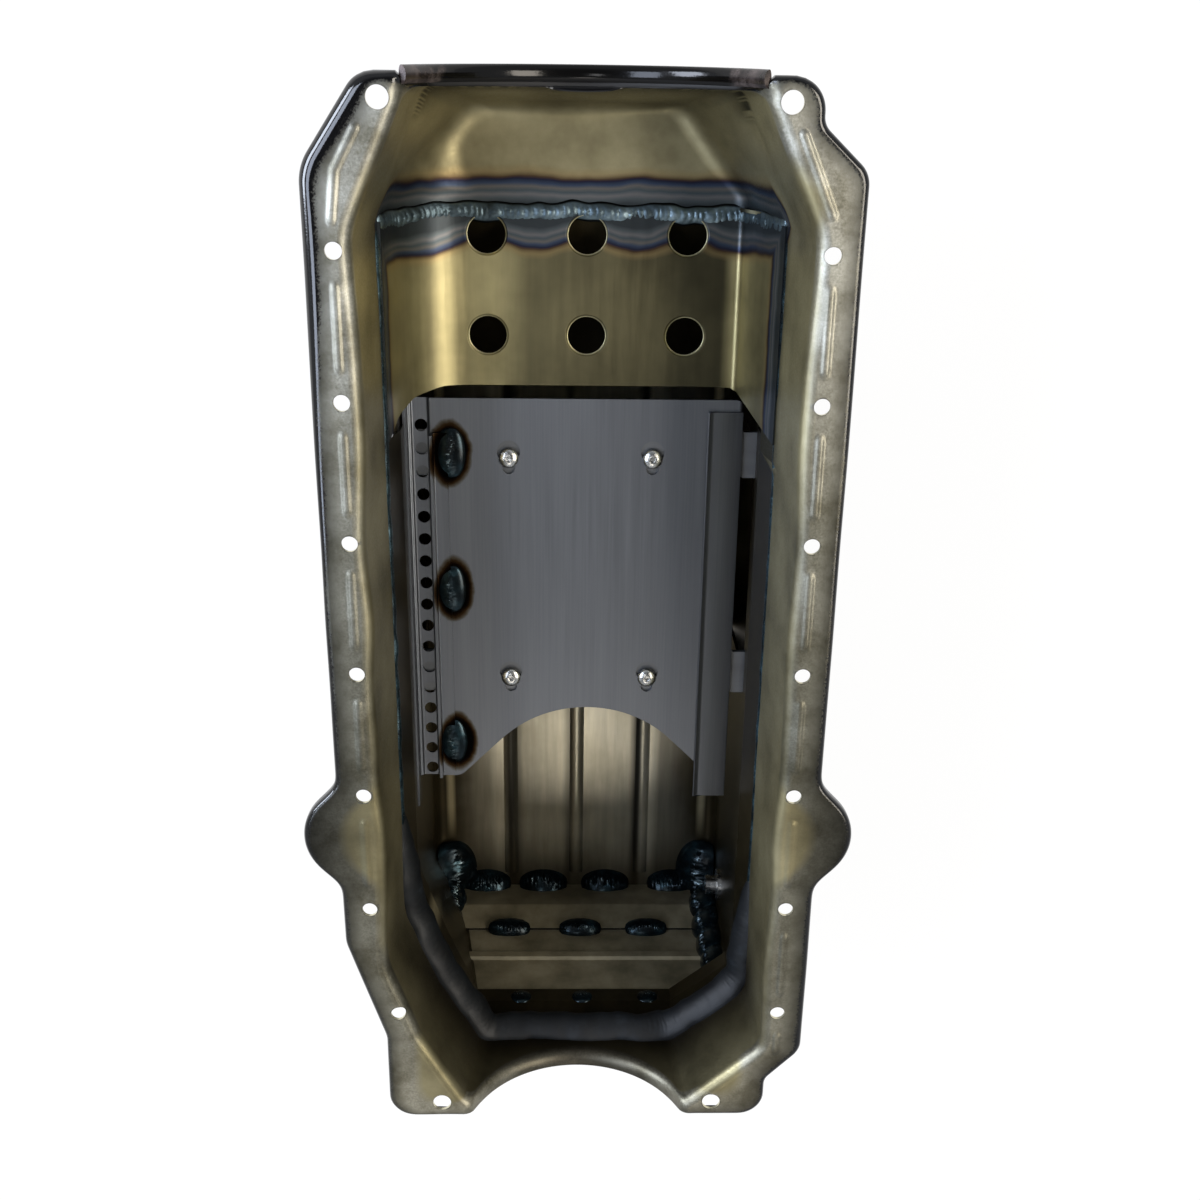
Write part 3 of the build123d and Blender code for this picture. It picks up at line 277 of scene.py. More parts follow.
# width of the rail's flat: out to the rim or round an ear, and at the front only as far as the seal lip
land = reach(mouth, outward, rail)
ear = ear_x + np.sqrt(np.clip(ear_radius ** 2 - (y - ear_y) ** 2, 0, None)) - np.abs(x)
land = np.where(np.abs(y - ear_y) < ear_radius, np.maximum(land, ear), land)
hann_17, hann_9 = np.hanning(19)[1:-1], np.hanning(11)[1:-1]
land = np.where(np.abs(y - ear_y) < 45, smoothed(land, hann_17, "wrap"), land) - sway
to_lip = (260.4 - base[:, 1]) / np.maximum(outward[:, 1], 1e-6)
meets_lip = (y > 240) & (outward[:, 1] > 0.1) & (np.abs(base[:, 0] + outward[:, 0] * to_lip) < 74.4)
rear = ease(-250, -257, y) * ease(62, 52, np.abs(x))
land = np.where(meets_lip, np.minimum(land, to_lip), land)
inner_bend = smoothed(np.minimum(5.5, land * 0.42), hann_9, "wrap")
rim_bend = np.minimum(3.0 + 2.6 * (x < 0) * ease(60, 190, y), land * 0.4) * (1 - rear) + 1.2 * rear
inner_bend = np.minimum(inner_bend, land - rim_bend - 0.1) * (1 - rear) + 5.6 * rear
seat_end = np.maximum(meets_lip, rear)
rim_drop = np.maximum(6.0 * (1 - seat_end) + sheet * seat_end, rim_bend + 0.2)

quarter = np.linspace(0, np.pi / 2, 5)
flat = np.linspace(0, 1, 26)[1:-1]
profile_out = np.concatenate([
    np.stack([land, land], 1),
    (land - rim_bend)[:, None] + rim_bend[:, None] * np.cos(quarter),
    (land - rim_bend)[:, None] + (inner_bend - land + rim_bend)[:, None] * flat,
    inner_bend[:, None] * (1 - np.sin(quarter))], 1)
profile_up = np.concatenate([
    np.stack([-rim_drop, -(rim_drop + rim_bend) / 2], 1),
    -rim_bend[:, None] * (1 - np.sin(quarter)),
    np.zeros((len(land), len(flat))),
    -inner_bend[:, None] * (1 - np.cos(quarter))], 1)
top_level = rail_level(x, y)


def wall_at(z):
    """Plan of the wall at each height: straight from mouth to seam and from seam to bowl floor."""
    upper = base + (seam - base) * np.clip((gasket_z - z) / (gasket_z - seam_z), 0, 1)[:, None]
    lower = (bowl - seam) * np.clip((seam_z - z) / (seam_z - bowl_z), 0, 1)[:, None]
    return upper + lower


top_plan = wall_at(top_level - inner_bend)
plan = top_plan[:, None] + outward[:, None] * profile_out[..., None]
rail_rows = np.concatenate([plan, (rail_level(plan[..., 0], plan[..., 1]) + profile_up)[..., None]], -1)

# the bowl below the seam: at each point of its outline a wall, a bend and the floor, fanned to the middle of
# the weld line; the bend's radius shrinks from the soft left side round to the tight right side
in_bowl = seam[:, 1] > weld_y + 0.1
beside_plate = ease(78, 86, y) * (np.abs(x) > 80)
foot_z = np.where(in_bowl, np.minimum(seam_z, top_level - inner_bend - 0.5), seam_z - 0.5 - 14 * beside_plate)
share = np.linspace(0, 1, 7)[1:]
heights = (top_level - inner_bend)[:, None] * (1 - share) + foot_z[:, None] * share
wall_rows = np.stack([np.concatenate([wall_at(heights[:, i]), heights[:, i, None]], 1) for i in range(6)], 1)
upper_rows = np.concatenate([rail_rows, wall_rows], 1)

order = np.flatnonzero(in_bowl)
order = order[np.argsort(np.where(order > len(in_bowl) / 2, order - len(in_bowl), order))]
edge = np.concatenate([[(94.5, weld_y)], seam[order], [(-94.5, weld_y)]])
foot = np.concatenate([[(79, weld_y)], bowl[order], [(-94.4, weld_y)]])
rise = np.concatenate([[seam_z], foot_z[order], [seam_z]])
bend = np.where(edge[:, 0] < 0, 40 - 26 * ease(206, 244, edge[:, 1]), 8 + 5 * ease(200, 230, edge[:, 1]))
bend = np.where(edge[:, 1] > 256.3, 12 + 2 * np.clip(-edge[:, 0] / 60, -1, 1), bend)
bend = smoothed(bend, hann_17, "edge")
brim = np.column_stack([foot + (edge - foot) * ((rise - bowl_z) / (seam_z - bowl_z))[:, None], rise])
corner = np.column_stack([foot, np.full(len(foot), bowl_z)])
middle = np.array([-8.0, weld_y, bowl_z])
wall_way, floor_way = unit(brim - corner), unit(middle - corner)
turned = np.arccos(np.clip((wall_way * floor_way).sum(1), -1, 1))
run = np.minimum(bend / np.tan(turned / 2), np.linalg.norm(brim - corner, axis=1) * 0.95)
radius = run * np.tan(turned / 2)
start, end = corner + wall_way * run[:, None], corner + floor_way * run[:, None]
hub = corner + unit(wall_way + floor_way) * (radius / np.sin(turned / 2))[:, None]
first, last = unit(start - hub)[:, None], unit(end - hub)[:, None]
spread = (np.pi - turned)[:, None, None]
swing = spread * np.linspace(0, 1, 13)[None, 1:-1, None]
bend_rows = hub[:, None] + radius[:, None, None] * (
    first * np.sin(spread - swing) + last * np.sin(swing)) / np.sin(spread)
down = np.linspace(0, 1, 7)[None, :, None]
bowl_rows = np.concatenate([brim[:, None] + (start - brim)[:, None] * down, bend_rows,
                            end[:, None] + (middle - end)[:, None] * down], 1)

# painted edge: black to this many millimetres in from the rim, widest round the front left corner
side_y = [-266, -215, -130, -60, 60, 130, 190, 240, 264]
black = np.where(x < 0, np.interp(y, side_y, [1.0, 2.5, 2.5, 3.0, 3.0, 4.5, 8.0, 10.0, 6.5]),
                 np.interp(y, side_y, [1.5, 4.0, 3.0, 3.5, 2.5, 2.5, 3.0, 5.0, 4.0])) - 6 * rear - 0.5
rim_mark = land[:, None] - profile_out - black[:, None]
below = 3 * (rail_rows[:, -1:, 2] - wall_rows[..., 2])
rim_mark = np.concatenate([rim_mark, np.minimum(rim_mark[:, -1:] + below, 60)], 1)
rim_mark[:, 0], rim_mark[:, 1] = -12, -10
# smoke dulls the ears and the right rear corner; painted shade darkens the steel under the seal lip and below
# the seam
smoke = np.exp(-(((y - ear_y) / 22) ** 2)) + 0.2 * np.exp(-(((y + 235) / 26) ** 2)) * (x > 0)
smoke_mark = np.repeat(smoke[:, None], upper_rows.shape[1], 1)
bowl_mark = np.full(bowl_rows.shape[:2], 60.0)
under_lip = np.exp(-np.clip(top_level[:, None] - upper_rows[..., 2], 0, None) / 7.0)
painted_shade_mark = under_lip * (ease(250, 257, y) * ease(70, 56, np.abs(x)))[:, None]
painted_shade_mark = np.maximum(painted_shade_mark, 0.8 * (upper_rows[..., 2] < seam_z - 1))
bowl_painted_shade = np.exp(-(gasket_z - front_seat[1] - bowl_rows[..., 2]) / 7.0) * ease(240, 250, bowl_rows[..., 1])


colours = {"data_type": "RGBA"}
stain = {"data_type": "RGBA", "blend_type": "MULTIPLY"}


def tinted(put, base, distance, noise, reach_mm):
    """Heat colours beside a weld: base colour far off, then straw, plum, blue and grey towards the weld."""
    shifted = put("Math", [noise, 7.0, distance], operation="MULTIPLY_ADD")
    scaled = put("Math", [shifted, 1.0 / reach_mm], operation="MULTIPLY")
    bands = put("ValToRGB", [scaled], [
        (0.20, "#2b3033"), (0.30, "#41474a"), (0.38, "#59595a"), (0.46, "#3a4348"), (0.54, "#54524f"),
        (0.61, "#2f3a4c"), (0.69, "#181a2c"), (0.75, "#3c2b1c"), (0.86, "#7d6b47")])
    fade = put("MapRange", [scaled, 0.72, 1.0])
    return put("Mix", [fade, bands, base], **colours)


# drawn steel with a film of oil: grey-olive, cloudy, satin; grain of 0.3 mm drawn at 1 mm to show
drawn_steel, put, shader, spot = finish_named("oiled_drawn_steel")
at_x, at_y, at_z = put("SeparateXYZ", [spot]).outputs
rim = put("Attribute", attribute_name="rim").outputs["Fac"]
cloud = put("TexNoise", [spot, 22.0, 4.0, 0.6])
grain = put("TexNoise", [spot, 900.0, 3.0, 0.7])
olive = put("ValToRGB", [cloud], [(0.3, "#5f5942"), (0.5, "#7d765a"), (0.7, "#918a6c")])
grey = put("ValToRGB", [grain], [(0.3, "#87867c"), (0.5, "#97968c"), (0.7, "#a9a89f")])
patch = put("TexNoise", [spot, 45.0, 5.0, 0.65])
dull = put("ValToRGB", [patch], [(0.35, "#a8a496"), (0.6, "#ffffff")])
grey = put("Mix", [0.8, grey, dull], **stain)
# painted light and shade along the flange: lighter towards the front and rear ends, darker along the middle
# of the sides
along = put("MapRange", [at_y, -0.266, 0.266])
along = put("ValToRGB", [along],
            [(0.02, "#f2eee4"), (0.14, "#c4c2ba"), (0.4, "#b0afa8"), (0.65, "#cfcec9"), (0.85, "#ffffff")])
grey = put("Mix", [1.0, grey, along], **stain)
flange = put("MapRange", [rim, 14, 20, 1.0, 0.0])
steel = put("Mix", [flange, olive, grey], **colours)
seam_off = put("Math", [at_y, weld_y / 1000], operation="SUBTRACT")
seam_mm = put("Math", [seam_off], operation="ABSOLUTE")
seam_mm = put("Math", [seam_mm, 1000.0], operation="MULTIPLY")
high = put("MapRange", [at_z, 0.140, 0.165, 0.0, 40.0])
seam_mm = put("Math", [seam_mm, high], operation="ADD")
sway_noise = put("Math", [put("TexNoise", [spot, 30.0, 2.0, 0.6]), 0.5], operation="SUBTRACT")
steel = tinted(put, steel, seam_mm, sway_noise, 22.0)
above = put("MapRange", [at_z, 0.143, 0.21], **eased)
ahead = put("MapRange", [at_y, -0.215, -0.14])
fresh = put("Math", [above, ahead], operation="MAXIMUM")
burnt = put("Mix", [1.0, steel, "#3c3122"], **stain)
steel = put("Mix", [fresh, burnt, steel], **colours)
edge = put("Math", [put("TexNoise", [spot, 18.0, 3.0, 0.6]), 5.0, -2.5], operation="MULTIPLY_ADD")
edge = put("Math", [edge, -3.0], operation="ADD")
speck = put("Math", [grain, 6.0, edge], operation="MULTIPLY_ADD")
past = put("Math", [rim, speck], operation="SUBTRACT")
bare = put("MapRange", [past, -1.0, 1.0])
smoke = put("Attribute", attribute_name="smoke").outputs["Fac"]
haze = put("Math", [smoke, 34.0, 7.0], operation="MULTIPLY_ADD")
dark = put("MapRange", [smoke, 0.0, 0.8, 0.34, 0.14])
haze = put("MapRange", [past, 0.0, haze, dark, 1.0])
steel = put("Mix", [1.0, steel, haze], **stain)
# painted shade: the steel darkened under the seal lip and below the seam, where shade falls
soot_and_painted_shade = put("Attribute", attribute_name="soot_and_painted_shade").outputs["Fac"]
painted_shade_factor = put("MapRange", [soot_and_painted_shade, 0.0, 0.9, 1.0, 0.06])
steel = put("Mix", [1.0, steel, painted_shade_factor], **stain)
worn = put("Mix", [bare, "#060607", steel], **colours)
rough = put("MapRange", [grain, 0.2, 0.8, 0.34, 0.56])
gloss = put("MapRange", [soot_and_painted_shade, 0.0, 0.3, 0.08, 0.7])
rough = put("Mix", [bare, gloss, rough], data_type="FLOAT")
metal = put("MapRange", [bare, 0.0, 1.0, 0.0, 0.85])
bump = put("Bump", {"Strength": 0.06, "Distance": 0.0003, "Height": grain})
put(shader, {"Base Color": worn, "Roughness": rough, "Metallic": metal, "Normal": bump})

# gloss black paint over the whole outside: deep black with a hard clear skin and faint orange peel
black_paint, put, shader, spot = finish_named("gloss_black_paint")
peel = put("TexNoise", [spot, 350.0, 2.0, 0.6])
dust = put("TexNoise", [spot, 60.0, 5.0, 0.7])
bump = put("Bump", {"Strength": 0.08, "Distance": 0.0003, "Height": peel})
rough = put("MapRange", [dust, 0.3, 0.7, 0.14, 0.26])
shade = put("ValToRGB", [dust], [(0.3, "#08080a"), (0.8, "#141416")])
put(shader, {"Base Color": shade, "Roughness": rough, "Normal": bump,
                   "Coat Weight": 0.6, "Coat Roughness": 0.05})

pressing = piece("rail_pressing", [upper_rows], [drawn_steel, black_paint], True,
                 {"rim": [rim_mark], "smoke": [smoke_mark], "soot_and_painted_shade": [painted_shade_mark]})
bowl_floor = piece("bowl_floor", [bowl_rows], [drawn_steel, black_paint], False,
                   {"rim": [bowl_mark], "smoke": [bowl_mark * 0], "soot_and_painted_shade": [np.clip(bowl_painted_shade, 0, 1)]})
with bpy.context.temp_override(active_object=pressing, selected_editable_objects=[pressing, bowl_floor]):
    bpy.ops.object.join()


def settled(made, sharp=35.0):
    """Puts the modifiers' result in the mesh, welds doubles and shades it smooth up to an angle."""
    shape = bpy.data.meshes.new_from_object(made.evaluated_get(bpy.context.evaluated_depsgraph_get()))
    made.modifiers.clear()
    made.data = shape
    work = bmesh.new()
    work.from_mesh(shape)
    bmesh.ops.remove_doubles(work, verts=work.verts, dist=5e-6)
    bmesh.ops.dissolve_degenerate(work, edges=work.edges, dist=1e-6)
    work.to_mesh(shape)
    work.free()
    shape.shade_smooth()
    shape.set_sharp_from_angle(angle=np.radians(sharp))
    return made


# freshly cut edge: bare bright steel where a punch or a drill went through
cut_steel, put, shader, spot = finish_named("bright_cut_edge")
put(shader, {"Base Color": "#cfc9ad", "Roughness": 0.3, "Metallic": 0.8})


def drills(name, holes, bottom, top, sides=40):
    """Closed upright cylinders, one for each hole (x, y, diameter), as a cutting tool."""
    angle = np.linspace(0, 2 * np.pi, sides, endpoint=False)
    ring = np.stack([np.cos(angle), np.sin(angle)], 1)
    points, faces = [], []
    for hole_x, hole_y, diameter in holes:
        first = len(points) * 2 * sides
        plan = ring * diameter / 2 + (hole_x, hole_y)
        points.append(np.concatenate([np.column_stack([plan, np.full(sides, z)]) for z in (bottom, top)]))
        turn = np.arange(sides)
        after = (turn + 1) % sides
        faces += (first + np.stack([turn, after, after + sides, turn + sides], 1)).tolist()
        faces += [(first + turn[::-1]).tolist(), (first + turn + sides).tolist()]
    mesh = bpy.data.meshes.new(name)
    mesh.from_pydata(np.concatenate(points) / 1000, [], faces)
    mesh.materials.append(cut_steel)
    made = bpy.data.objects.new(name, mesh)
    bpy.context.collection.objects.link(made)
    return made


def drilled(made, tool):
    """Takes a cutting tool out of a piece, settles it and throws the tool away."""
    cut = made.modifiers.new("holes", "BOOLEAN")
    cut.operation, cut.object, cut.solver, cut.material_mode = "DIFFERENCE", tool, "EXACT", "TRANSFER"
    settled(made)
    bpy.data.objects.remove(tool)


settled(pressing)
skin = pressing.modifiers.new("sheet", "SOLIDIFY")
skin.thickness, skin.offset, skin.material_offset, skin.material_offset_rim = sheet / 1000, -1.0, 1, 1
rail_holes = [(side * bolt_x, -134.1 + bolt_pitch * row, 7.5) for side in (-1, 1) for row in range(6)]
rail_holes += [(-93.7, -198.4, 7.5), (105.1, -198.4, 7.5)]
rail_holes += [(side * hole_x, hole_y, 9.6) for side in (-1, 1)
               for hole_x, hole_y in ((84.4, 253.6), (72.5, -256.7))]
drilled(pressing, drills("rail_drills", rail_holes, bottom=190, top=210))
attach(pressing, "root")
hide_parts("rail_stamping")


# Front seal lip. A separate 1.6 mm strip bent round the front seal seat and brazed on at both ends: gloss
# black, with bare brown braze where it meets the rail.
lip_x = np.linspace(-74.5, 74.5, 121)
lip_z, level = seat_line(lip_x, *front_seat), np.zeros(121)
lip_up = unit(np.stack([-np.gradient(lip_z, lip_x), level, level + 1], 1))
turn = np.linspace(0, 2 * np.pi, 25)
round_y = 262.25 + 3.7 * np.cos(turn)
round_up = -0.2 + np.where(np.sin(turn) > 0, 2.3, 1.0) * np.sin(turn)
lip_line = np.stack([lip_x, level, lip_z], 1)
lip_rows = lip_line[:, None] + lip_up[:, None] * round_up[None, :, None]
lip_rows[..., 1] = round_y
ends = [np.repeat(lip_rows[i].mean(0)[None, None], 25, 1) for i in (0, -1)]
lip_rows = np.concatenate([ends[0], lip_rows, ends[1]])

# gloss black paint that hides the strip's middle and is burnt to a matt brown by the braze at its ends
lip_finish, put, shader, spot = finish_named("brazed_black_lip")
at_x, at_y, at_z = put("SeparateXYZ", [spot]).outputs
off_middle = put("Math", [at_x], operation="ABSOLUTE")
soot_and_painted_shade = put("TexNoise", [spot, 70.0, 5.0, 0.7])
worn_x = put("Math", [soot_and_painted_shade, 0.030, off_middle], operation="MULTIPLY_ADD")
braze = put("MapRange", [worn_x, 0.076, 0.092])
brown = put("ValToRGB", [soot_and_painted_shade], [(0.3, "#241e1d"), (0.5, "#4e4340"), (0.7, "#786c67")])
shade = put("Mix", [braze, "#0b0a0a", brown], **colours)
rough = put("MapRange", [braze, 0.0, 1.0, 0.13, 0.5])
bump = put("Bump", {"Strength": 0.2, "Distance": 0.0006, "Height": soot_and_painted_shade})
inner = put("MapRange", [at_y, 0.2595, 0.2605, 0.7, 0.0])
rough = put("Math", [rough, inner], operation="ADD")
put(shader, {"Base Color": shade, "Roughness": rough, "Metallic": 0.5, "Normal": bump})
lip = settled(piece("seal_lip", [lip_rows], [lip_finish]), 60)
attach(lip, "root")
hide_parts("front_seal_lip")


# Baffle plate. 1.6 mm sheet folded to the bowl's section, with six 18.8 mm drain holes and bright punched
# edges. Bare oiled sheet inside, with painted highlights along both its bends and painted shade across its
# middle, heat-tinted at the weld and down the side seams; black paint outside.
def folded(path, arc_steps=10):
    """A folded strip's face from its corners (x, z, radius): straights joined by arcs."""
    points = np.array(path, float)
    line, radius = points[:, :2], points[:, 2]
    out = [line[:1]]
    for i in range(1, len(points) - 1):
        back, ahead = unit(line[i - 1] - line[i]), unit(line[i + 1] - line[i])
        half = np.arccos(np.clip(back @ ahead, -1, 1)) / 2
        hub = line[i] + unit(back + ahead) * radius[i] / np.sin(half)
        first, last = (unit(line[i] + way * radius[i] / np.tan(half) - hub) for way in (back, ahead))
        spread = np.pi - 2 * half
        share = np.linspace(0, 1, arc_steps + 1)[:, None]
        out.append(hub + radius[i] * (first * np.sin(spread * (1 - share)) + last * np.sin(spread * share))
                   / np.sin(spread))
    return np.concatenate(out + [line[-1:]])


plate_path = folded([(-94.4, seam_z, 0), (-94.4, bowl_z, 41), (79, bowl_z, 5), (94.4, seam_z, 0)], 20)
flat_share = np.linspace(0, 1, 9)[1:-1, None]
gap = np.argmax(np.linalg.norm(np.diff(plate_path, axis=0), axis=1))
flat_run = plate_path[gap] * (1 - flat_share) + plate_path[gap + 1] * flat_share
plate_path = np.insert(plate_path, gap + 1, flat_run, 0)
plate_x, plate_z = (np.repeat(part[:, None], 24, 1) for part in plate_path.T)
edge_y = np.interp(plate_x, [-94.4, -91, -84, -70, 74, 84, 91, 94.4],
                   [94, 103, 109.5, 113, 113, 109.5, 103, 94])
plate_rows = np.stack([plate_x, edge_y + (weld_y - edge_y) * np.linspace(0, 1, 24), plate_z], -1)

# cold-rolled sheet wiped with oil: olive, cloudy, with faint rolling lines drawn at 4 mm so that they show
bare_sheet, put, shader, spot = finish_named("oiled_bare_sheet")
at_x, at_y, at_z = put("SeparateXYZ", [spot]).outputs
cloud = put("TexNoise", [spot, 16.0, 4.0, 0.6])
stretched = put("Mapping", {"Vector": spot, "Scale": (1, 0.08, 1)})
streak = put("TexNoise", [stretched, 260.0, 4.0, 0.6])
olive = put("ValToRGB", [cloud], [(0.3, "#766f4f"), (0.55, "#9d946c"), (0.75, "#b0a67a")])
line = put("ValToRGB", [streak], [(0.3, "#dcdcdc"), (0.7, "#ffffff")])
sheet_tone = put("Mix", [0.5, olive, line], **stain)
# painted highlights along the soft left bend and the tight right one, painted shade across the middle and
# beside the right bend
across = put("MapRange", [at_x, -0.1, 0.1])
painted_fold_light_and_shade = put("ValToRGB", [across],
            [(0.12, "#cfcfcf"), (0.2, "#ffffff"), (0.28, "#ffffff"), (0.37, "#9a9a9a"), (0.7, "#8e8e8e"),
             (0.85, "#6c6c6c"), (0.875, "#ffffff"), (0.905, "#ffffff"), (0.93, "#c4c4c4")])
sheet_tone = put("Mix", [1.0, sheet_tone, painted_fold_light_and_shade], **stain)
seam_off = put("Math", [weld_y / 1000, at_y], operation="SUBTRACT")
seam_mm = put("Math", [seam_off, 1000.0], operation="MULTIPLY")
across_holes = put("Math", [at_x, 128.0, 1.25], operation="MULTIPLY_ADD")
scallop = put("Math", [put("Math", [across_holes], operation="SINE"), 2.6, seam_mm], operation="MULTIPLY_ADD")
corner_left = put("MapRange", [at_x, -0.095, -0.062, -9.0, 0.0])
seam_mm = put("Math", [scallop, corner_left], operation="ADD")
side_mm = put("Math", [seam_z / 1000, at_z], operation="SUBTRACT")
side_mm = put("Math", [side_mm, 1500.0], operation="MULTIPLY")
nearest = put("Math", [seam_mm, side_mm], operation="MINIMUM")
sway_noise = put("Math", [put("TexNoise", [spot, 38.0, 2.0, 0.6]), 0.5], operation="SUBTRACT")
tinted_tone = tinted(put, sheet_tone, nearest, sway_noise, 20.0)
# the punch rolls the sheet over round each hole: a bright ring 1.2 mm wide that sinks towards the hole; the
# sinking is a bump, the ring's bright colour a painted highlight
hole_pitch, hole_x, hole_y, hole_size = 49.1, 2.5, 163.0, 18.8
from_hole = []
for place, first, lowest in ((at_x, hole_x, -1.0), (at_y, hole_y - hole_pitch / 2, 0.0)):
    pitch = put("Math", [place, first / 1000], operation="SUBTRACT")
    pitch = put("Math", [pitch, hole_pitch / 1000], operation="DIVIDE")
    whole = put("Clamp", [put("Math", [pitch], operation="ROUND"), lowest, 1.0])
    from_hole.append(put("Math", [pitch, whole], operation="SUBTRACT"))
off_hole = put("VectorMath", [put("CombineXYZ", from_hole)], operation="LENGTH")
rolled = put("MapRange", [off_hole, 9.3 / hole_pitch, 10.6 / hole_pitch], **eased)
ring = put("MapRange", [rolled, 0.0, 0.7, 0.35, 1.0])
tinted_tone = put("Mix", [ring, "#d6cfa4", tinted_tone], **colours)
rough = put("MapRange", [streak, 0.2, 0.8, 0.3, 0.44])
bump = put("Bump", {"Strength": 0.08, "Distance": 0.0003, "Height": streak})
bump = put("Bump", {"Strength": 1.0, "Distance": 0.0009, "Height": rolled, "Normal": bump})
put(shader, {"Base Color": tinted_tone, "Roughness": rough, "Metallic": 0.78, "Normal": bump})

plate = piece("six_hole_plate", [plate_rows], [bare_sheet, black_paint])
skin = plate.modifiers.new("sheet", "SOLIDIFY")
skin.thickness, skin.offset, skin.use_even_offset, skin.material_offset = sheet / 1000, 1.0, True, 1
drain_holes = [(hole_x + hole_pitch * column, hole_y + hole_pitch * row, hole_size)
               for column in (-1, 0, 1) for row in (-0.5, 0.5)]
drilled(plate, drills("drain_drills", drain_holes, bottom=90, top=110, sides=64))
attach(plate, "root")
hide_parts("baffle_plate")


# Seam welds. Gas-shielded beads laid by hand: a silvery rippled one across the bowl, thin ones down both
# side seams and a heavy one round the rear, dull blue-grey scale over bright metal.
def wander(count, seed, step):
    """Smooth random walk of the given count: seeded noise under a Gaussian window of step samples."""
    noise = np.random.default_rng(seed).normal(size=count + 6 * step)
    window = np.exp(-np.linspace(-2.5, 2.5, 5 * step) ** 2)
    smooth = np.convolve(noise, window / np.sqrt((window ** 2).sum()), "same")
    return smooth[3 * step:3 * step + count]


def bead(path, over, up, width, height, pitch, seed, taper=3.0, columns=15, roughness=0.12, wobble=1.0):
    """Weld bead on a path: a circular-arc section, crescent ripples pitch apart and a wandering edge."""
    length = np.concatenate([[0], np.cumsum(np.linalg.norm(np.diff(path, axis=0), axis=1))])
    count = len(path)
    v = np.linspace(-1, 1, columns)
    ends = np.clip(np.minimum(length, length[-1] - length) / max(taper, 1e-6), 0, 1)
    ends = np.sqrt(np.clip(1 - (1 - ends) ** 2, 0, 1))
    edge = 1 + wobble * (0.13 * wander(count, seed, 5)[:, None] * np.sign(v)
                         + 0.08 * wander(count, seed + 1, 9)[:, None])
    lift = 1 + 0.16 * wobble * wander(count, seed + 2, 6)[:, None]
    phase = length[:, None] / pitch + 0.9 * v ** 2 + 0.35 * wander(count, seed + 3, 4)[:, None]
    ripple = roughness * height * (1 - v ** 2) ** 1.6 * np.abs(np.sin(np.pi * phase)) ** 0.7
    noise = np.random.default_rng(seed + 4).normal(size=(count, columns)) * 0.02 * height * wobble
    rise = (height * lift * (1 - v ** 2) ** 0.6 + ripple + noise * (1 - v ** 2)) * ends[:, None] - 0.25
    aside = v * edge * width / 2 * ends[:, None]
    grid = path[:, None] + over[:, None] * aside[..., None] + up[:, None] * rise[..., None]
    return grid, np.broadcast_to(np.abs(v), grid.shape[:2])


def dense(line, step):
    """The line's points spread again at equal steps of arc length."""
    length = np.concatenate([[0], np.cumsum(np.linalg.norm(np.diff(line, axis=0), axis=1))])
    spots = np.linspace(0, length[-1], int(length[-1] / step) + 1)
    return np.stack([np.interp(spots, length, line[:, k]) for k in range(line.shape[1])], 1)


# weld metal under thin scale: silvery crests in blue-grey, burnt dark along the bead's edges
weld_scale, put, shader, spot = finish_named("rippled_weld_scale")
edge = put("Attribute", attribute_name="edge").outputs["Fac"]
coarse = put("TexNoise", [spot, 75.0, 4.0, 0.6])
fine = put("TexNoise", [spot, 700.0, 3.0, 0.7])
tone = put("ValToRGB", [coarse],
           [(0.3, "#323b40"), (0.5, "#4c5a61"), (0.66, "#6d7e87"), (0.8, "#a0acb1")])
burnt = put("Math", [coarse, 0.3, edge], operation="MULTIPLY_ADD")
burnt = put("ValToRGB", [burnt], [(0.86, "#ffffff"), (1.0, "#20262b")])
tone = put("Mix", [1.0, tone, burnt], **stain)
rough = put("MapRange", [fine, 0.2, 0.8, 0.26, 0.5])
bump = put("Bump", {"Strength": 0.25, "Distance": 0.0004, "Height": fine})
put(shader, {"Base Color": tone, "Roughness": rough, "Metallic": 0.85, "Normal": bump})

# thicker scale on the thin side beads: teal black with a few bright specks
dark_scale, put, shader, spot = finish_named("teal_black_weld_scale")
coarse = put("TexNoise", [spot, 90.0, 5.0, 0.7])
fine = put("TexNoise", [spot, 800.0, 4.0, 0.75])
tone = put("ValToRGB", [coarse],
           [(0.3, "#0b1012"), (0.5, "#1b2a30"), (0.64, "#33474f"), (0.8, "#7e949b")])
rough = put("MapRange", [fine, 0.2, 0.8, 0.18, 0.42])
bump = put("Bump", {"Strength": 0.4, "Distance": 0.0004, "Height": fine})
put(shader, {"Base Color": tone, "Roughness": rough, "Metallic": 0.7, "Normal": bump})

section = folded([(-94.5, seam_z - 1, 0), (-94.5, bowl_z, 41), (79, bowl_z, 5), (94.5, seam_z - 1, 0)], 16)
section = dense(section, 0.8)
way = unit(np.gradient(section, axis=0))
front_path = np.column_stack([section[:, 0], weld_y + 0.7 * wander(len(section), 5, 20), section[:, 1]])
front_up = np.column_stack([-way[:, 1], np.zeros(len(way)), way[:, 0]])
front_over = np.tile([0.0, 1.0, 0.0], (len(way), 1))
grid, mark = bead(front_path, front_over, front_up, width=9.8, height=2.0, pitch=3.4, seed=11, columns=21,
                  roughness=0.30, wobble=0.75)
front_weld = settled(piece("front_weld_bead", [grid], [weld_scale], False, {"edge": [mark]}))
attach(front_weld, "root")
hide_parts("front_seam_weld")

# soot-covered scale on the rear bead: smooth, matt, blue-black
smooth_scale, put, shader, spot = finish_named("smooth_blue_black_weld")
coarse = put("TexNoise", [spot, 60.0, 3.0, 0.6])
tone = put("ValToRGB", [coarse], [(0.3, "#060709"), (0.6, "#0f1215"), (0.8, "#1e2328")])
bump = put("Bump", {"Strength": 0.15, "Distance": 0.0004, "Height": coarse})
put(shader, {"Base Color": tone, "Roughness": 0.5, "Metallic": 0.1, "Specular IOR Level": 0.3,
             "Normal": bump})

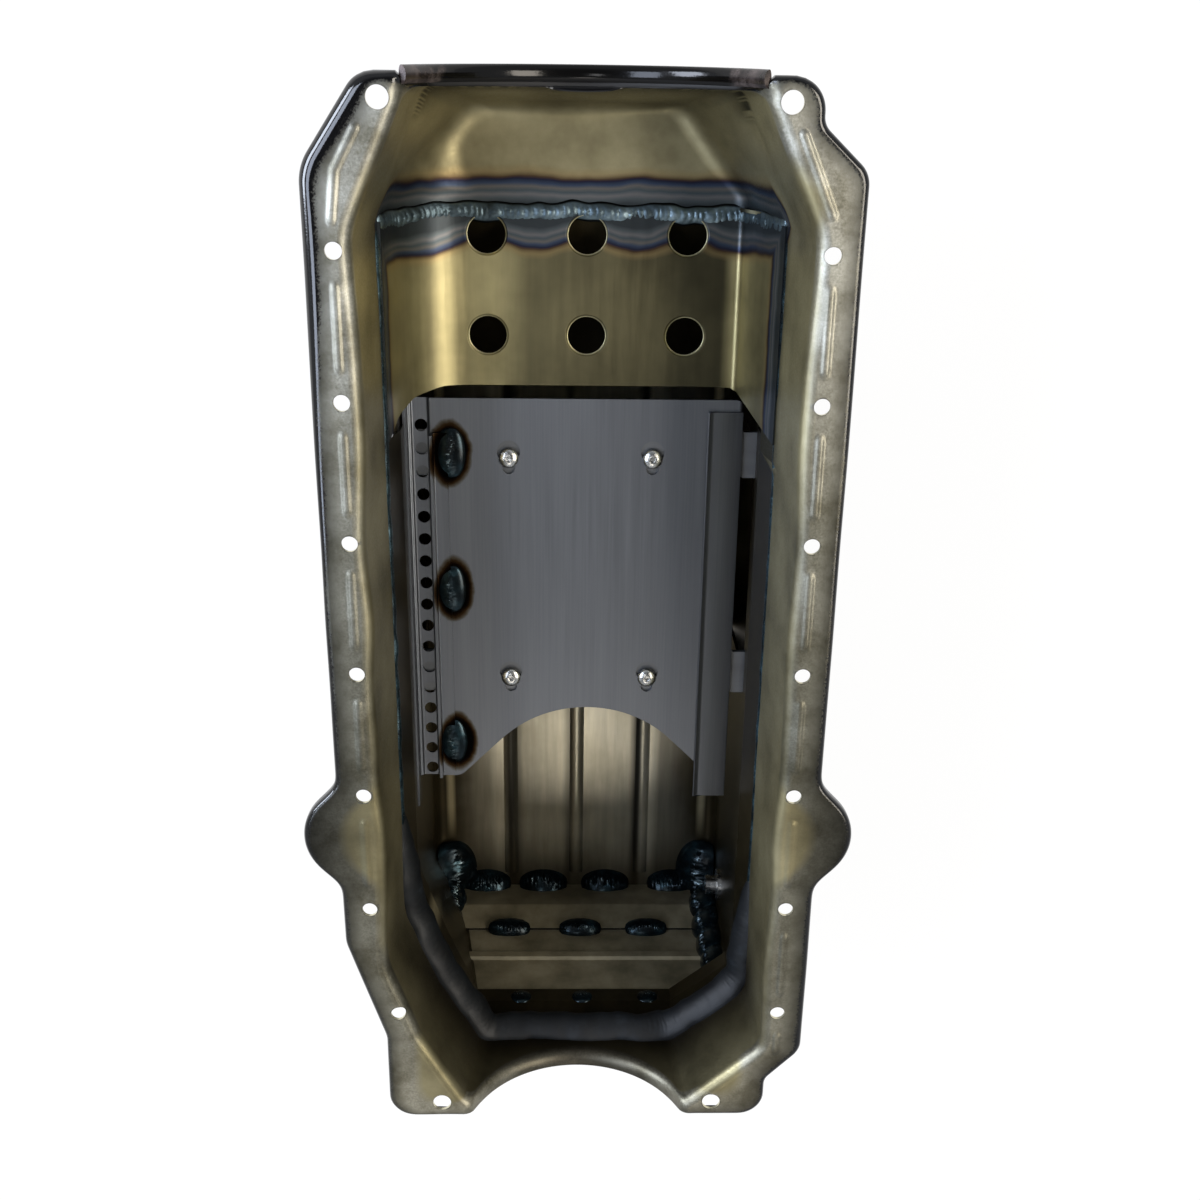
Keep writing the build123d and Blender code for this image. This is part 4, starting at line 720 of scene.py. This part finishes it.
loop = np.column_stack([seam, np.full(len(seam), seam_z), -outward])
at_left, seam_y = seam[:, 0] < 0, seam[:, 1]
rear_run = np.where(at_left, seam_y < -108, seam_y < -150)
left_run = at_left & (seam_y < 195) & (seam_y > -130)
right_run = ~at_left & (seam_y < 195) & (seam_y > -170)
for name, node, run, width, height, seed, finish, wobble in (
        ("left_weld_bead", "left_seam_weld", left_run, 5.5, 1.5, 21, dark_scale, 0.7),
        ("right_weld_bead", "right_seam_weld", right_run, 4.0, 1.1, 31, dark_scale, 0.7),
        ("rear_weld_bead", "rear_seam_weld", rear_run, 17.0, 3.4, 41, smooth_scale, 0.45)):
    track = dense(loop[run], 0.9)
    window = np.exp(-np.linspace(-2, 2, 31 if node == "rear_seam_weld" else 5) ** 2)
    track = np.stack([smoothed(column, window, "edge") for column in track.T], 1)
    track[:, 2] += 0.5 * wander(len(track), seed + 7, 25)
    lean = 0.8 if node == "rear_seam_weld" else 0.0
    into = unit(np.column_stack([track[:, 3:], np.zeros(len(track))]))
    over, up = unit(np.array([0, 0, 1.0]) - lean * into), unit(into + np.array([0, 0, lean]))
    length = np.arange(len(track)) * 0.9
    thin = ease(0, 60, np.minimum(length, length[-1] - length))[:, None]
    track[:, :3] += into * 5.2 * lean * thin
    grid, mark = bead(track[:, :3], over, up, width, height, pitch=3.2, seed=seed, taper=75.0 * lean + 8.0,
                      roughness=0.12 * wobble, wobble=wobble)
    made = settled(piece(name, [grid], [finish], False, {"edge": [mark]}))
    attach(made, "root")
    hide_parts(node)


# Tacks. Short heavy lumps of weld: three that hold the left scraper to the tray, four along the foot of
# the rear angle, three along its top, three plug welds in the ring and a heavy run up each rear corner.
def lump(centre, along, over, up, size, seed, bulge=1.0):
    """One tack: an oval swelling from its rim, smooth-sided, with a crest of fine ripples along it."""
    u = np.linspace(-1, 1, 49)[:, None]
    v = np.linspace(-1, 1, 25)[None]
    along, over, up = (np.array(w, float) for w in (along, over, up))
    narrow = np.sqrt(np.clip(1 - u ** 2, 0, 1)) ** 0.8
    dome = (np.clip(1 - u ** 2, 0, 1) * np.clip(1 - v ** 2, 0, 1)) ** 0.5
    middle = 0.12 * wander(49, seed + 5, 8)[:, None]
    crest = np.exp(-((v - middle) / 0.26) ** 2) * dome
    phase = u * size[0] / 3.4 + 0.9 * v ** 2 + 0.25 * wander(49, seed, 3)[:, None]
    ripple = 0.10 * np.abs(np.sin(np.pi * phase))
    noise = 0.04 * wander(49 * 25, seed + 1, 3).reshape(49, 25)
    rise = size[2] * (dome * bulge + (ripple + noise) * crest) - 0.3
    grid = (np.array(centre, float) + along * (u * size[0] / 2 * np.ones_like(v))[..., None]
            + over * (v * narrow * size[1] / 2)[..., None] + up * rise[..., None])
    grid = np.clip(grid, (-90.3, -255.0, 0.4), (90.3, 250.0, 200.0))  # kept inside the sump's walls
    return grid, crest * (0.7 + 0.3 * wander(49 * 25, seed + 2, 2).reshape(49, 25))


# heavy tack under glassy scale: teal black, with a painted silver highlight along its crest
tack_scale, put, shader, spot = finish_named("crested_teal_tack")
crest = put("Attribute", attribute_name="crest").outputs["Fac"]
fine = put("TexNoise", [spot, 700.0, 4.0, 0.75])
rough_crest = put("Math", [crest, fine], operation="MULTIPLY")
painted_crest_highlight = put("MapRange", [rough_crest, 0.38, 0.62])
teal = put("ValToRGB", [put("TexNoise", [spot, 110.0, 3.0, 0.6])],
           [(0.3, "#0a0f12"), (0.55, "#18252b"), (0.75, "#2a424b")])
tone = put("Mix", [painted_crest_highlight, teal, "#8fa2a9"], **colours)
rough = put("MapRange", [painted_crest_highlight, 0.0, 1.0, 0.22, 0.34])
bump = put("Bump", {"Strength": 0.6, "Distance": 0.0005, "Height": rough_crest})
put(shader, {"Base Color": tone, "Roughness": rough, "Metallic": 0.75, "Normal": bump})

x_way, y_way, z_way = np.eye(3)
low_facing = unit(y_way + z_way)
left_facing, right_facing = (unit(side * x_way + y_way + 0.7 * z_way) for side in (1, -1))
left_climb = unit(z_way - 0.2 * y_way)
left_over, right_over = np.cross(left_facing, unit(z_way - 0.3 * y_way)), np.cross(right_facing, z_way)
left_foot = unit(x_way * 0.9 - z_way * 0.4), unit(x_way * 0.5 + z_way)
right_foot = unit(x_way * 0.9 + z_way * 0.4), unit(-x_way * 0.5 + z_way)
foot_over, wall_over = unit(y_way - z_way * 0.9), unit(y_way * 0.9 - z_way)
tack_x, tack_ys = -67.2, (76.6, 1.1, -90.4)
tray_tacks = [lump((tack_x - 1.3 * i, tack_y, 102.0), y_way, x_way, z_way, (27, 16, 2.9), 3 + i)
              for i, tack_y in enumerate(tack_ys)]
foot_tacks = [lump((foot_x, -248.4, 2.2), -x_way, foot_over, low_facing, (32, 26, 8.0), 13 + i)
              for i, foot_x in enumerate((-59, -21.5, 19.5, 63.5))]
wall_tacks = [lump((wall_x, -251.2, 50.0), -x_way, wall_over, low_facing, (27, 13, 4.4), 23 + i)
              for i, wall_x in enumerate((-42.5, 2.7, 44.7))]
plug_spots = [lump((plug_x, -251.9, 118.0), -x_way, -z_way, y_way, (12, 11, 1.9), 33 + i)
              for i, plug_x in enumerate((-32.7, 3.4, 42.0))]
left_lumps = [lump((-82, -237, 4), y_way, *left_foot, (42, 36, 10), 53),
              lump((-81.5, -246, 24), left_climb, left_over, left_facing, (32, 25, 9), 54),
              lump((-80.5, -249, 39), z_way, left_over, left_facing, (28, 19, 7), 55)]
right_lumps = [lump((84, -237, 4), y_way, *right_foot, (44, 38, 11), 63)]
right_lumps += [lump(centre, z_way, right_over, right_facing, size, seed) for centre, size, seed in (
    ((83.5, -247, 26), (34, 27, 9.5), 64), ((83.5, -248.5, 47), (32, 25, 9), 65),
    ((84, -248.5, 68), (32, 23, 8.5), 66), ((84, -248.5, 86), (28, 20, 7.5), 67))]
for name, node, lumps in (
        ("tray_tacks", "tray_tack_welds", tray_tacks), ("foot_tacks", "floor_tack_welds", foot_tacks),
        ("wall_tacks", "wall_tack_welds", wall_tacks), ("plug_spots", "plug_welds", plug_spots),
        ("left_corner_lumps", "left_corner_weld", left_lumps),
        ("right_corner_lumps", "right_corner_weld", right_lumps)):
    grids, crests = zip(*lumps)
    made = settled(piece(name, grids, [tack_scale], False, {"crest": crests}))
    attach(made, "root")
    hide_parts(node)


# Sump, collar, kick-outs and crossbars. Sheet and bar cut, folded and welded: bare and oily inside, gloss
# black paint outside. The paint is on the faces that look away from the middle of the pan.
def painted_side(put, spot):
    """1 on the faces that look away from the pan's middle, which are painted, and 0 on the bare ones."""
    from_middle = put("VectorMath", [spot, (0.0, -0.06, 0.09)], operation="SUBTRACT")
    facing = put("VectorMath", [from_middle, put("TexCoord").outputs["Normal"]], operation="DOT_PRODUCT")
    return put("MapRange", [facing, -0.0005, 0.0005])


# hot-rolled sheet under old oil, its rolling marks drawn at 4 mm so that they show: the floor carries a
# painted pool of light in the middle, with painted shade on the walls and on the floor towards the welds at
# the rear
deep_sheet, put, shader, spot = finish_named("oiled_sump_sheet")
at_x, at_y, at_z = put("SeparateXYZ", [spot]).outputs
cloud = put("TexNoise", [spot, 16.0, 4.0, 0.6])
stretched = put("Mapping", {"Vector": spot, "Scale": (1, 0.08, 0.3)})
streak = put("TexNoise", [stretched, 240.0, 4.0, 0.6])
pale = put("ValToRGB", [cloud], [(0.3, "#c0b9a1"), (0.55, "#dad3bc"), (0.75, "#e6e0cc")])
painted_shade_tone = put("ValToRGB", [cloud], [(0.3, "#221e15"), (0.55, "#37301f"), (0.75, "#4a4230")])
line = put("ValToRGB", [streak], [(0.3, "#cfcfcf"), (0.7, "#ffffff")])
across = put("MapRange", [at_x, -0.1, 0.1])
# painted highlights and painted shade on the flanks of the floor's three ribs
painted_rib_light_and_shade = put("ValToRGB", [across], [
    (0.22, "#c4c4c4"), (0.245, "#ffffff"), (0.268, "#ffffff"), (0.282, "#4a4a4a"), (0.298, "#4a4a4a"),
    (0.33, "#c8c8c8"), (0.455, "#f6f6f6"), (0.475, "#a8a8a8"), (0.49, "#ffffff"), (0.67, "#dadada"),
    (0.69, "#4a4a4a"), (0.702, "#4a4a4a"), (0.715, "#ffffff"), (0.74, "#ffffff"), (0.77, "#a4a4a4")])
aside = put("Math", [at_x], operation="ABSOLUTE")
# painted highlight along the floor's bends up into the side walls, ahead of the rear
fold_off = put("Math", [aside, 0.0815], operation="SUBTRACT")
fold_off = put("Math", [fold_off], operation="ABSOLUTE")
painted_fold_highlight = put("MapRange", [fold_off, 0.0008, 0.0034, 1.0, 0.0])
# painted pool of light on the floor's middle, fading to painted shade towards the walls and the rear
aside = put("Math", [cloud, 0.03, aside], operation="MULTIPLY_ADD")
inner = put("MapRange", [aside, 0.066, 0.098, 1.0, 0.0], **eased)
ahead = put("MapRange", [at_y, -0.25, -0.20, 0.12, 1.0], **eased)
low = put("MapRange", [at_z, 0.004, 0.014, 1.0, 0.0], **eased)
painted_light_pool = put("Math", [inner, ahead], operation="MULTIPLY")
painted_light_pool = put("Math", [painted_light_pool, low], operation="MULTIPLY")
pale = put("Mix", [1.0, pale, painted_rib_light_and_shade], **stain)
tone = put("Mix", [painted_light_pool, painted_shade_tone, pale], **colours)
forward = put("MapRange", [at_y, -0.215, -0.19])
painted_fold_highlight = put("Math", [painted_fold_highlight, forward], operation="MULTIPLY")
tone = put("Mix", [painted_fold_highlight, tone, "#b9ae8c"], **colours)
tone = put("Mix", [0.6, tone, line], **stain)
outside = painted_side(put, spot)
shade = put("Mix", [outside, tone, "#0b0b0c"], **colours)
rough = put("MapRange", [outside, 0.0, 1.0, 0.34, 0.16])
metal = put("MapRange", [painted_light_pool, 0.0, 1.0, 0.8, 0.7])
metal = put("Mix", [outside, metal, 0.0], data_type="FLOAT")
bump = put("Bump", {"Strength": 0.08, "Distance": 0.0003, "Height": streak})
put(shader, {"Base Color": shade, "Roughness": rough, "Metallic": metal, "Normal": bump})

# rear panel: cold-rolled sheet under a brown, cloudy film of burnt oil
smoked_panel, put, shader, spot = finish_named("smoked_panel_sheet")
cloud = put("TexNoise", [spot, 40.0, 5.0, 0.6])
tone = put("ValToRGB", [cloud], [(0.3, "#6b6450"), (0.55, "#8f8770"), (0.75, "#a79e86")])
outside = painted_side(put, spot)
shade = put("Mix", [outside, tone, "#0b0b0c"], **colours)
metal = put("MapRange", [outside, 0.0, 1.0, 0.45, 0.0])
rough = put("MapRange", [outside, 0.0, 1.0, 0.36, 0.16])
put(shader, {"Base Color": shade, "Roughness": rough, "Metallic": metal})

# flat bar as it comes from the mill: grey, a little cloudy along its length
bare_bar, put, shader, spot = finish_named("mill_finished_bar")
cloud = put("TexNoise", [put("Mapping", {"Vector": spot, "Scale": (0.2, 1, 1)}), 40.0, 4.0, 0.6])
tone = put("ValToRGB", [cloud], [(0.3, "#56585a"), (0.7, "#6f7174")])
put(shader, {"Base Color": tone, "Roughness": 0.42, "Metallic": 0.8})

# tray steel: cold-rolled sheet brushed lengthways, blue-grey, its lines of 0.2 mm drawn at 1 mm so that they
# show, with a straw and plum halo round each tack
brushed_tray, put, shader, spot = finish_named("brushed_tray_steel")
at_x, at_y, at_z = put("SeparateXYZ", [spot]).outputs
streak = put("TexNoise", [put("Mapping", {"Vector": spot, "Scale": (1, 0.012, 1)}), 1100.0, 3.0, 0.6])
wide_streak = put("TexNoise", [put("Mapping", {"Vector": spot, "Scale": (1, 0.05, 1)}), 60.0, 4.0, 0.6])
tone = put("ValToRGB", [streak], [(0.3, "#676a6f"), (0.7, "#6e7176")])
wide_tone = put("ValToRGB", [wide_streak], [(0.3, "#eaeaec"), (0.7, "#ffffff")])
tone = put("Mix", [0.8, tone, wide_tone], **stain)
nearest = None
for tack_y in tack_ys:
    gap = put("Math", [at_y, tack_y / 1000], operation="SUBTRACT")
    gap = put("Math", [gap], operation="ABSOLUTE")
    nearest = gap if nearest is None else put("Math", [nearest, gap], operation="MINIMUM")
aside = put("Math", [at_x, -tack_x / 1000], operation="ADD")
oval = put("CombineXYZ", [aside, put("Math", [nearest, 0.6], operation="MULTIPLY")])
off = put("VectorMath", [oval], operation="LENGTH")
off = put("Math", [put("TexNoise", [spot, 70.0, 3.0, 0.6]), 0.004, off], operation="MULTIPLY_ADD")
halo = put("MapRange", [off, 0.0098, 0.0135])
halo_tone = put("ValToRGB", [halo], [
    (0.0, "#14110f"), (0.25, "#3a2616"), (0.5, "#7a5a38"), (0.75, "#b9ab94"), (1.0, "#ffffff")])
tone = put("Mix", [1.0, tone, halo_tone], **stain)
rough = put("MapRange", [streak, 0.2, 0.8, 0.34, 0.44])
bump = put("Bump", {"Strength": 0.06, "Distance": 0.0002, "Height": streak})
put(shader, {"Base Color": tone, "Roughness": rough, "Metallic": 1.0, "Normal": bump})

# zinc-plated fasteners: bright, slightly smeared silver
zinc, put, shader, spot = finish_named("bright_zinc_plate")
smear = put("TexNoise", [spot, 400.0, 3.0, 0.6])
tone = put("ValToRGB", [smear], [(0.3, "#9fa0a0"), (0.7, "#d9d9d6")])
rough = put("MapRange", [smear, 0.2, 0.8, 0.16, 0.34])
put(shader, {"Base Color": tone, "Roughness": rough, "Metallic": 1.0})

wearing = {
    deep_sheet: ("sump_trough", "sump_collar", "corner_gusset", "sump_front_wall",
                 "kickout_left", "kickout_right"),
    smoked_panel: ("sump_rear_wall", "rear_angle_strip"),
    bare_bar: ("crossbar_front", "crossbar_rear"),
    brushed_tray: ("windage_tray", "left_scraper"),
    zinc: ("tray_nuts", "drain_bung", "drain_washer", "drain_plug")}
for finish, nodes in wearing.items():
    for node in nodes:
        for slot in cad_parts[node].material_slots:
            slot.material = finish


# Right scraper. A strip of the tray's own steel laid along its right edge, its inner edge lifted a little
# so that it stands off the tray and catches the light.
scraper_y = np.linspace(99.4, -124.0, 60)
profile = np.array([(83.4, 102.05), (83.4, 103.4), (82.9, 103.6), (68.6, 103.6), (67.6, 103.7), (66.3, 104.4),
                    (65.9, 104.5), (65.4, 104.1), (67.3, 102.4), (68.2, 102.05)])
across, level = (np.repeat(part[:, None], 60, 1) for part in profile.T)
rings = np.stack([across, np.repeat(scraper_y[None], 10, 0), level], -1)
caps = [np.repeat(rings[:, at].mean(0)[None, None], 10, 0) for at in (0, -1)]
strip_rows = np.concatenate([caps[0], rings, caps[1]], 1)[::-1]
right_strip = settled(piece("right_scraper_strip", [strip_rows], [brushed_tray], True), 25)
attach(right_strip, "root")
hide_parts("right_scraper")


# Tray screws. Four zinc-plated M5 button-head screws with 3 mm hexagon sockets, cold-headed, put through the
# tray's keyholes and tightened into the nuts under the crossbars, each stopped at its own angle.
around = np.linspace(0, 2 * np.pi, 61)[:, None]
hexagon = 1.5 / np.cos((around + np.pi / 6) % (np.pi / 3) - np.pi / 6)
dome_turn = np.linspace(0.25, 1.0, 9)[None]
dome_radius, dome_z = 5.2 * np.sin(dome_turn * np.pi / 2), 0.5 + 2.3 * np.cos(dome_turn * np.pi / 2)
ones = np.ones_like(around)
radii = np.concatenate([0 * ones, hexagon * 0.995, hexagon, hexagon * 1.06, ones * dome_radius,
                        5.2 * ones, 5.05 * ones, 2.5 * ones, 2.5 * ones, 0 * ones], 1)
levels = np.array([0.9, 1.0, 2.45, 2.62, *dome_z[0], 0.15, 0.0, 0.0, -14.0, -14.0])
screws = []
for screw_x, screw_y, turn in (
        (-37.2, 74.1, 0.3), (37.5, 74.1, 1.1), (-37.2, -50.7, 0.7), (37.5, -50.7, 0.1)):
    screws.append(np.stack([screw_x + radii * np.cos(around + turn), screw_y + radii * np.sin(around + turn),
                            np.broadcast_to(102.0 + levels, radii.shape)], -1))
screws = settled(piece("button_screws", screws, [zinc]), 40)
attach(screws, "root")
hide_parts("tray_screws")
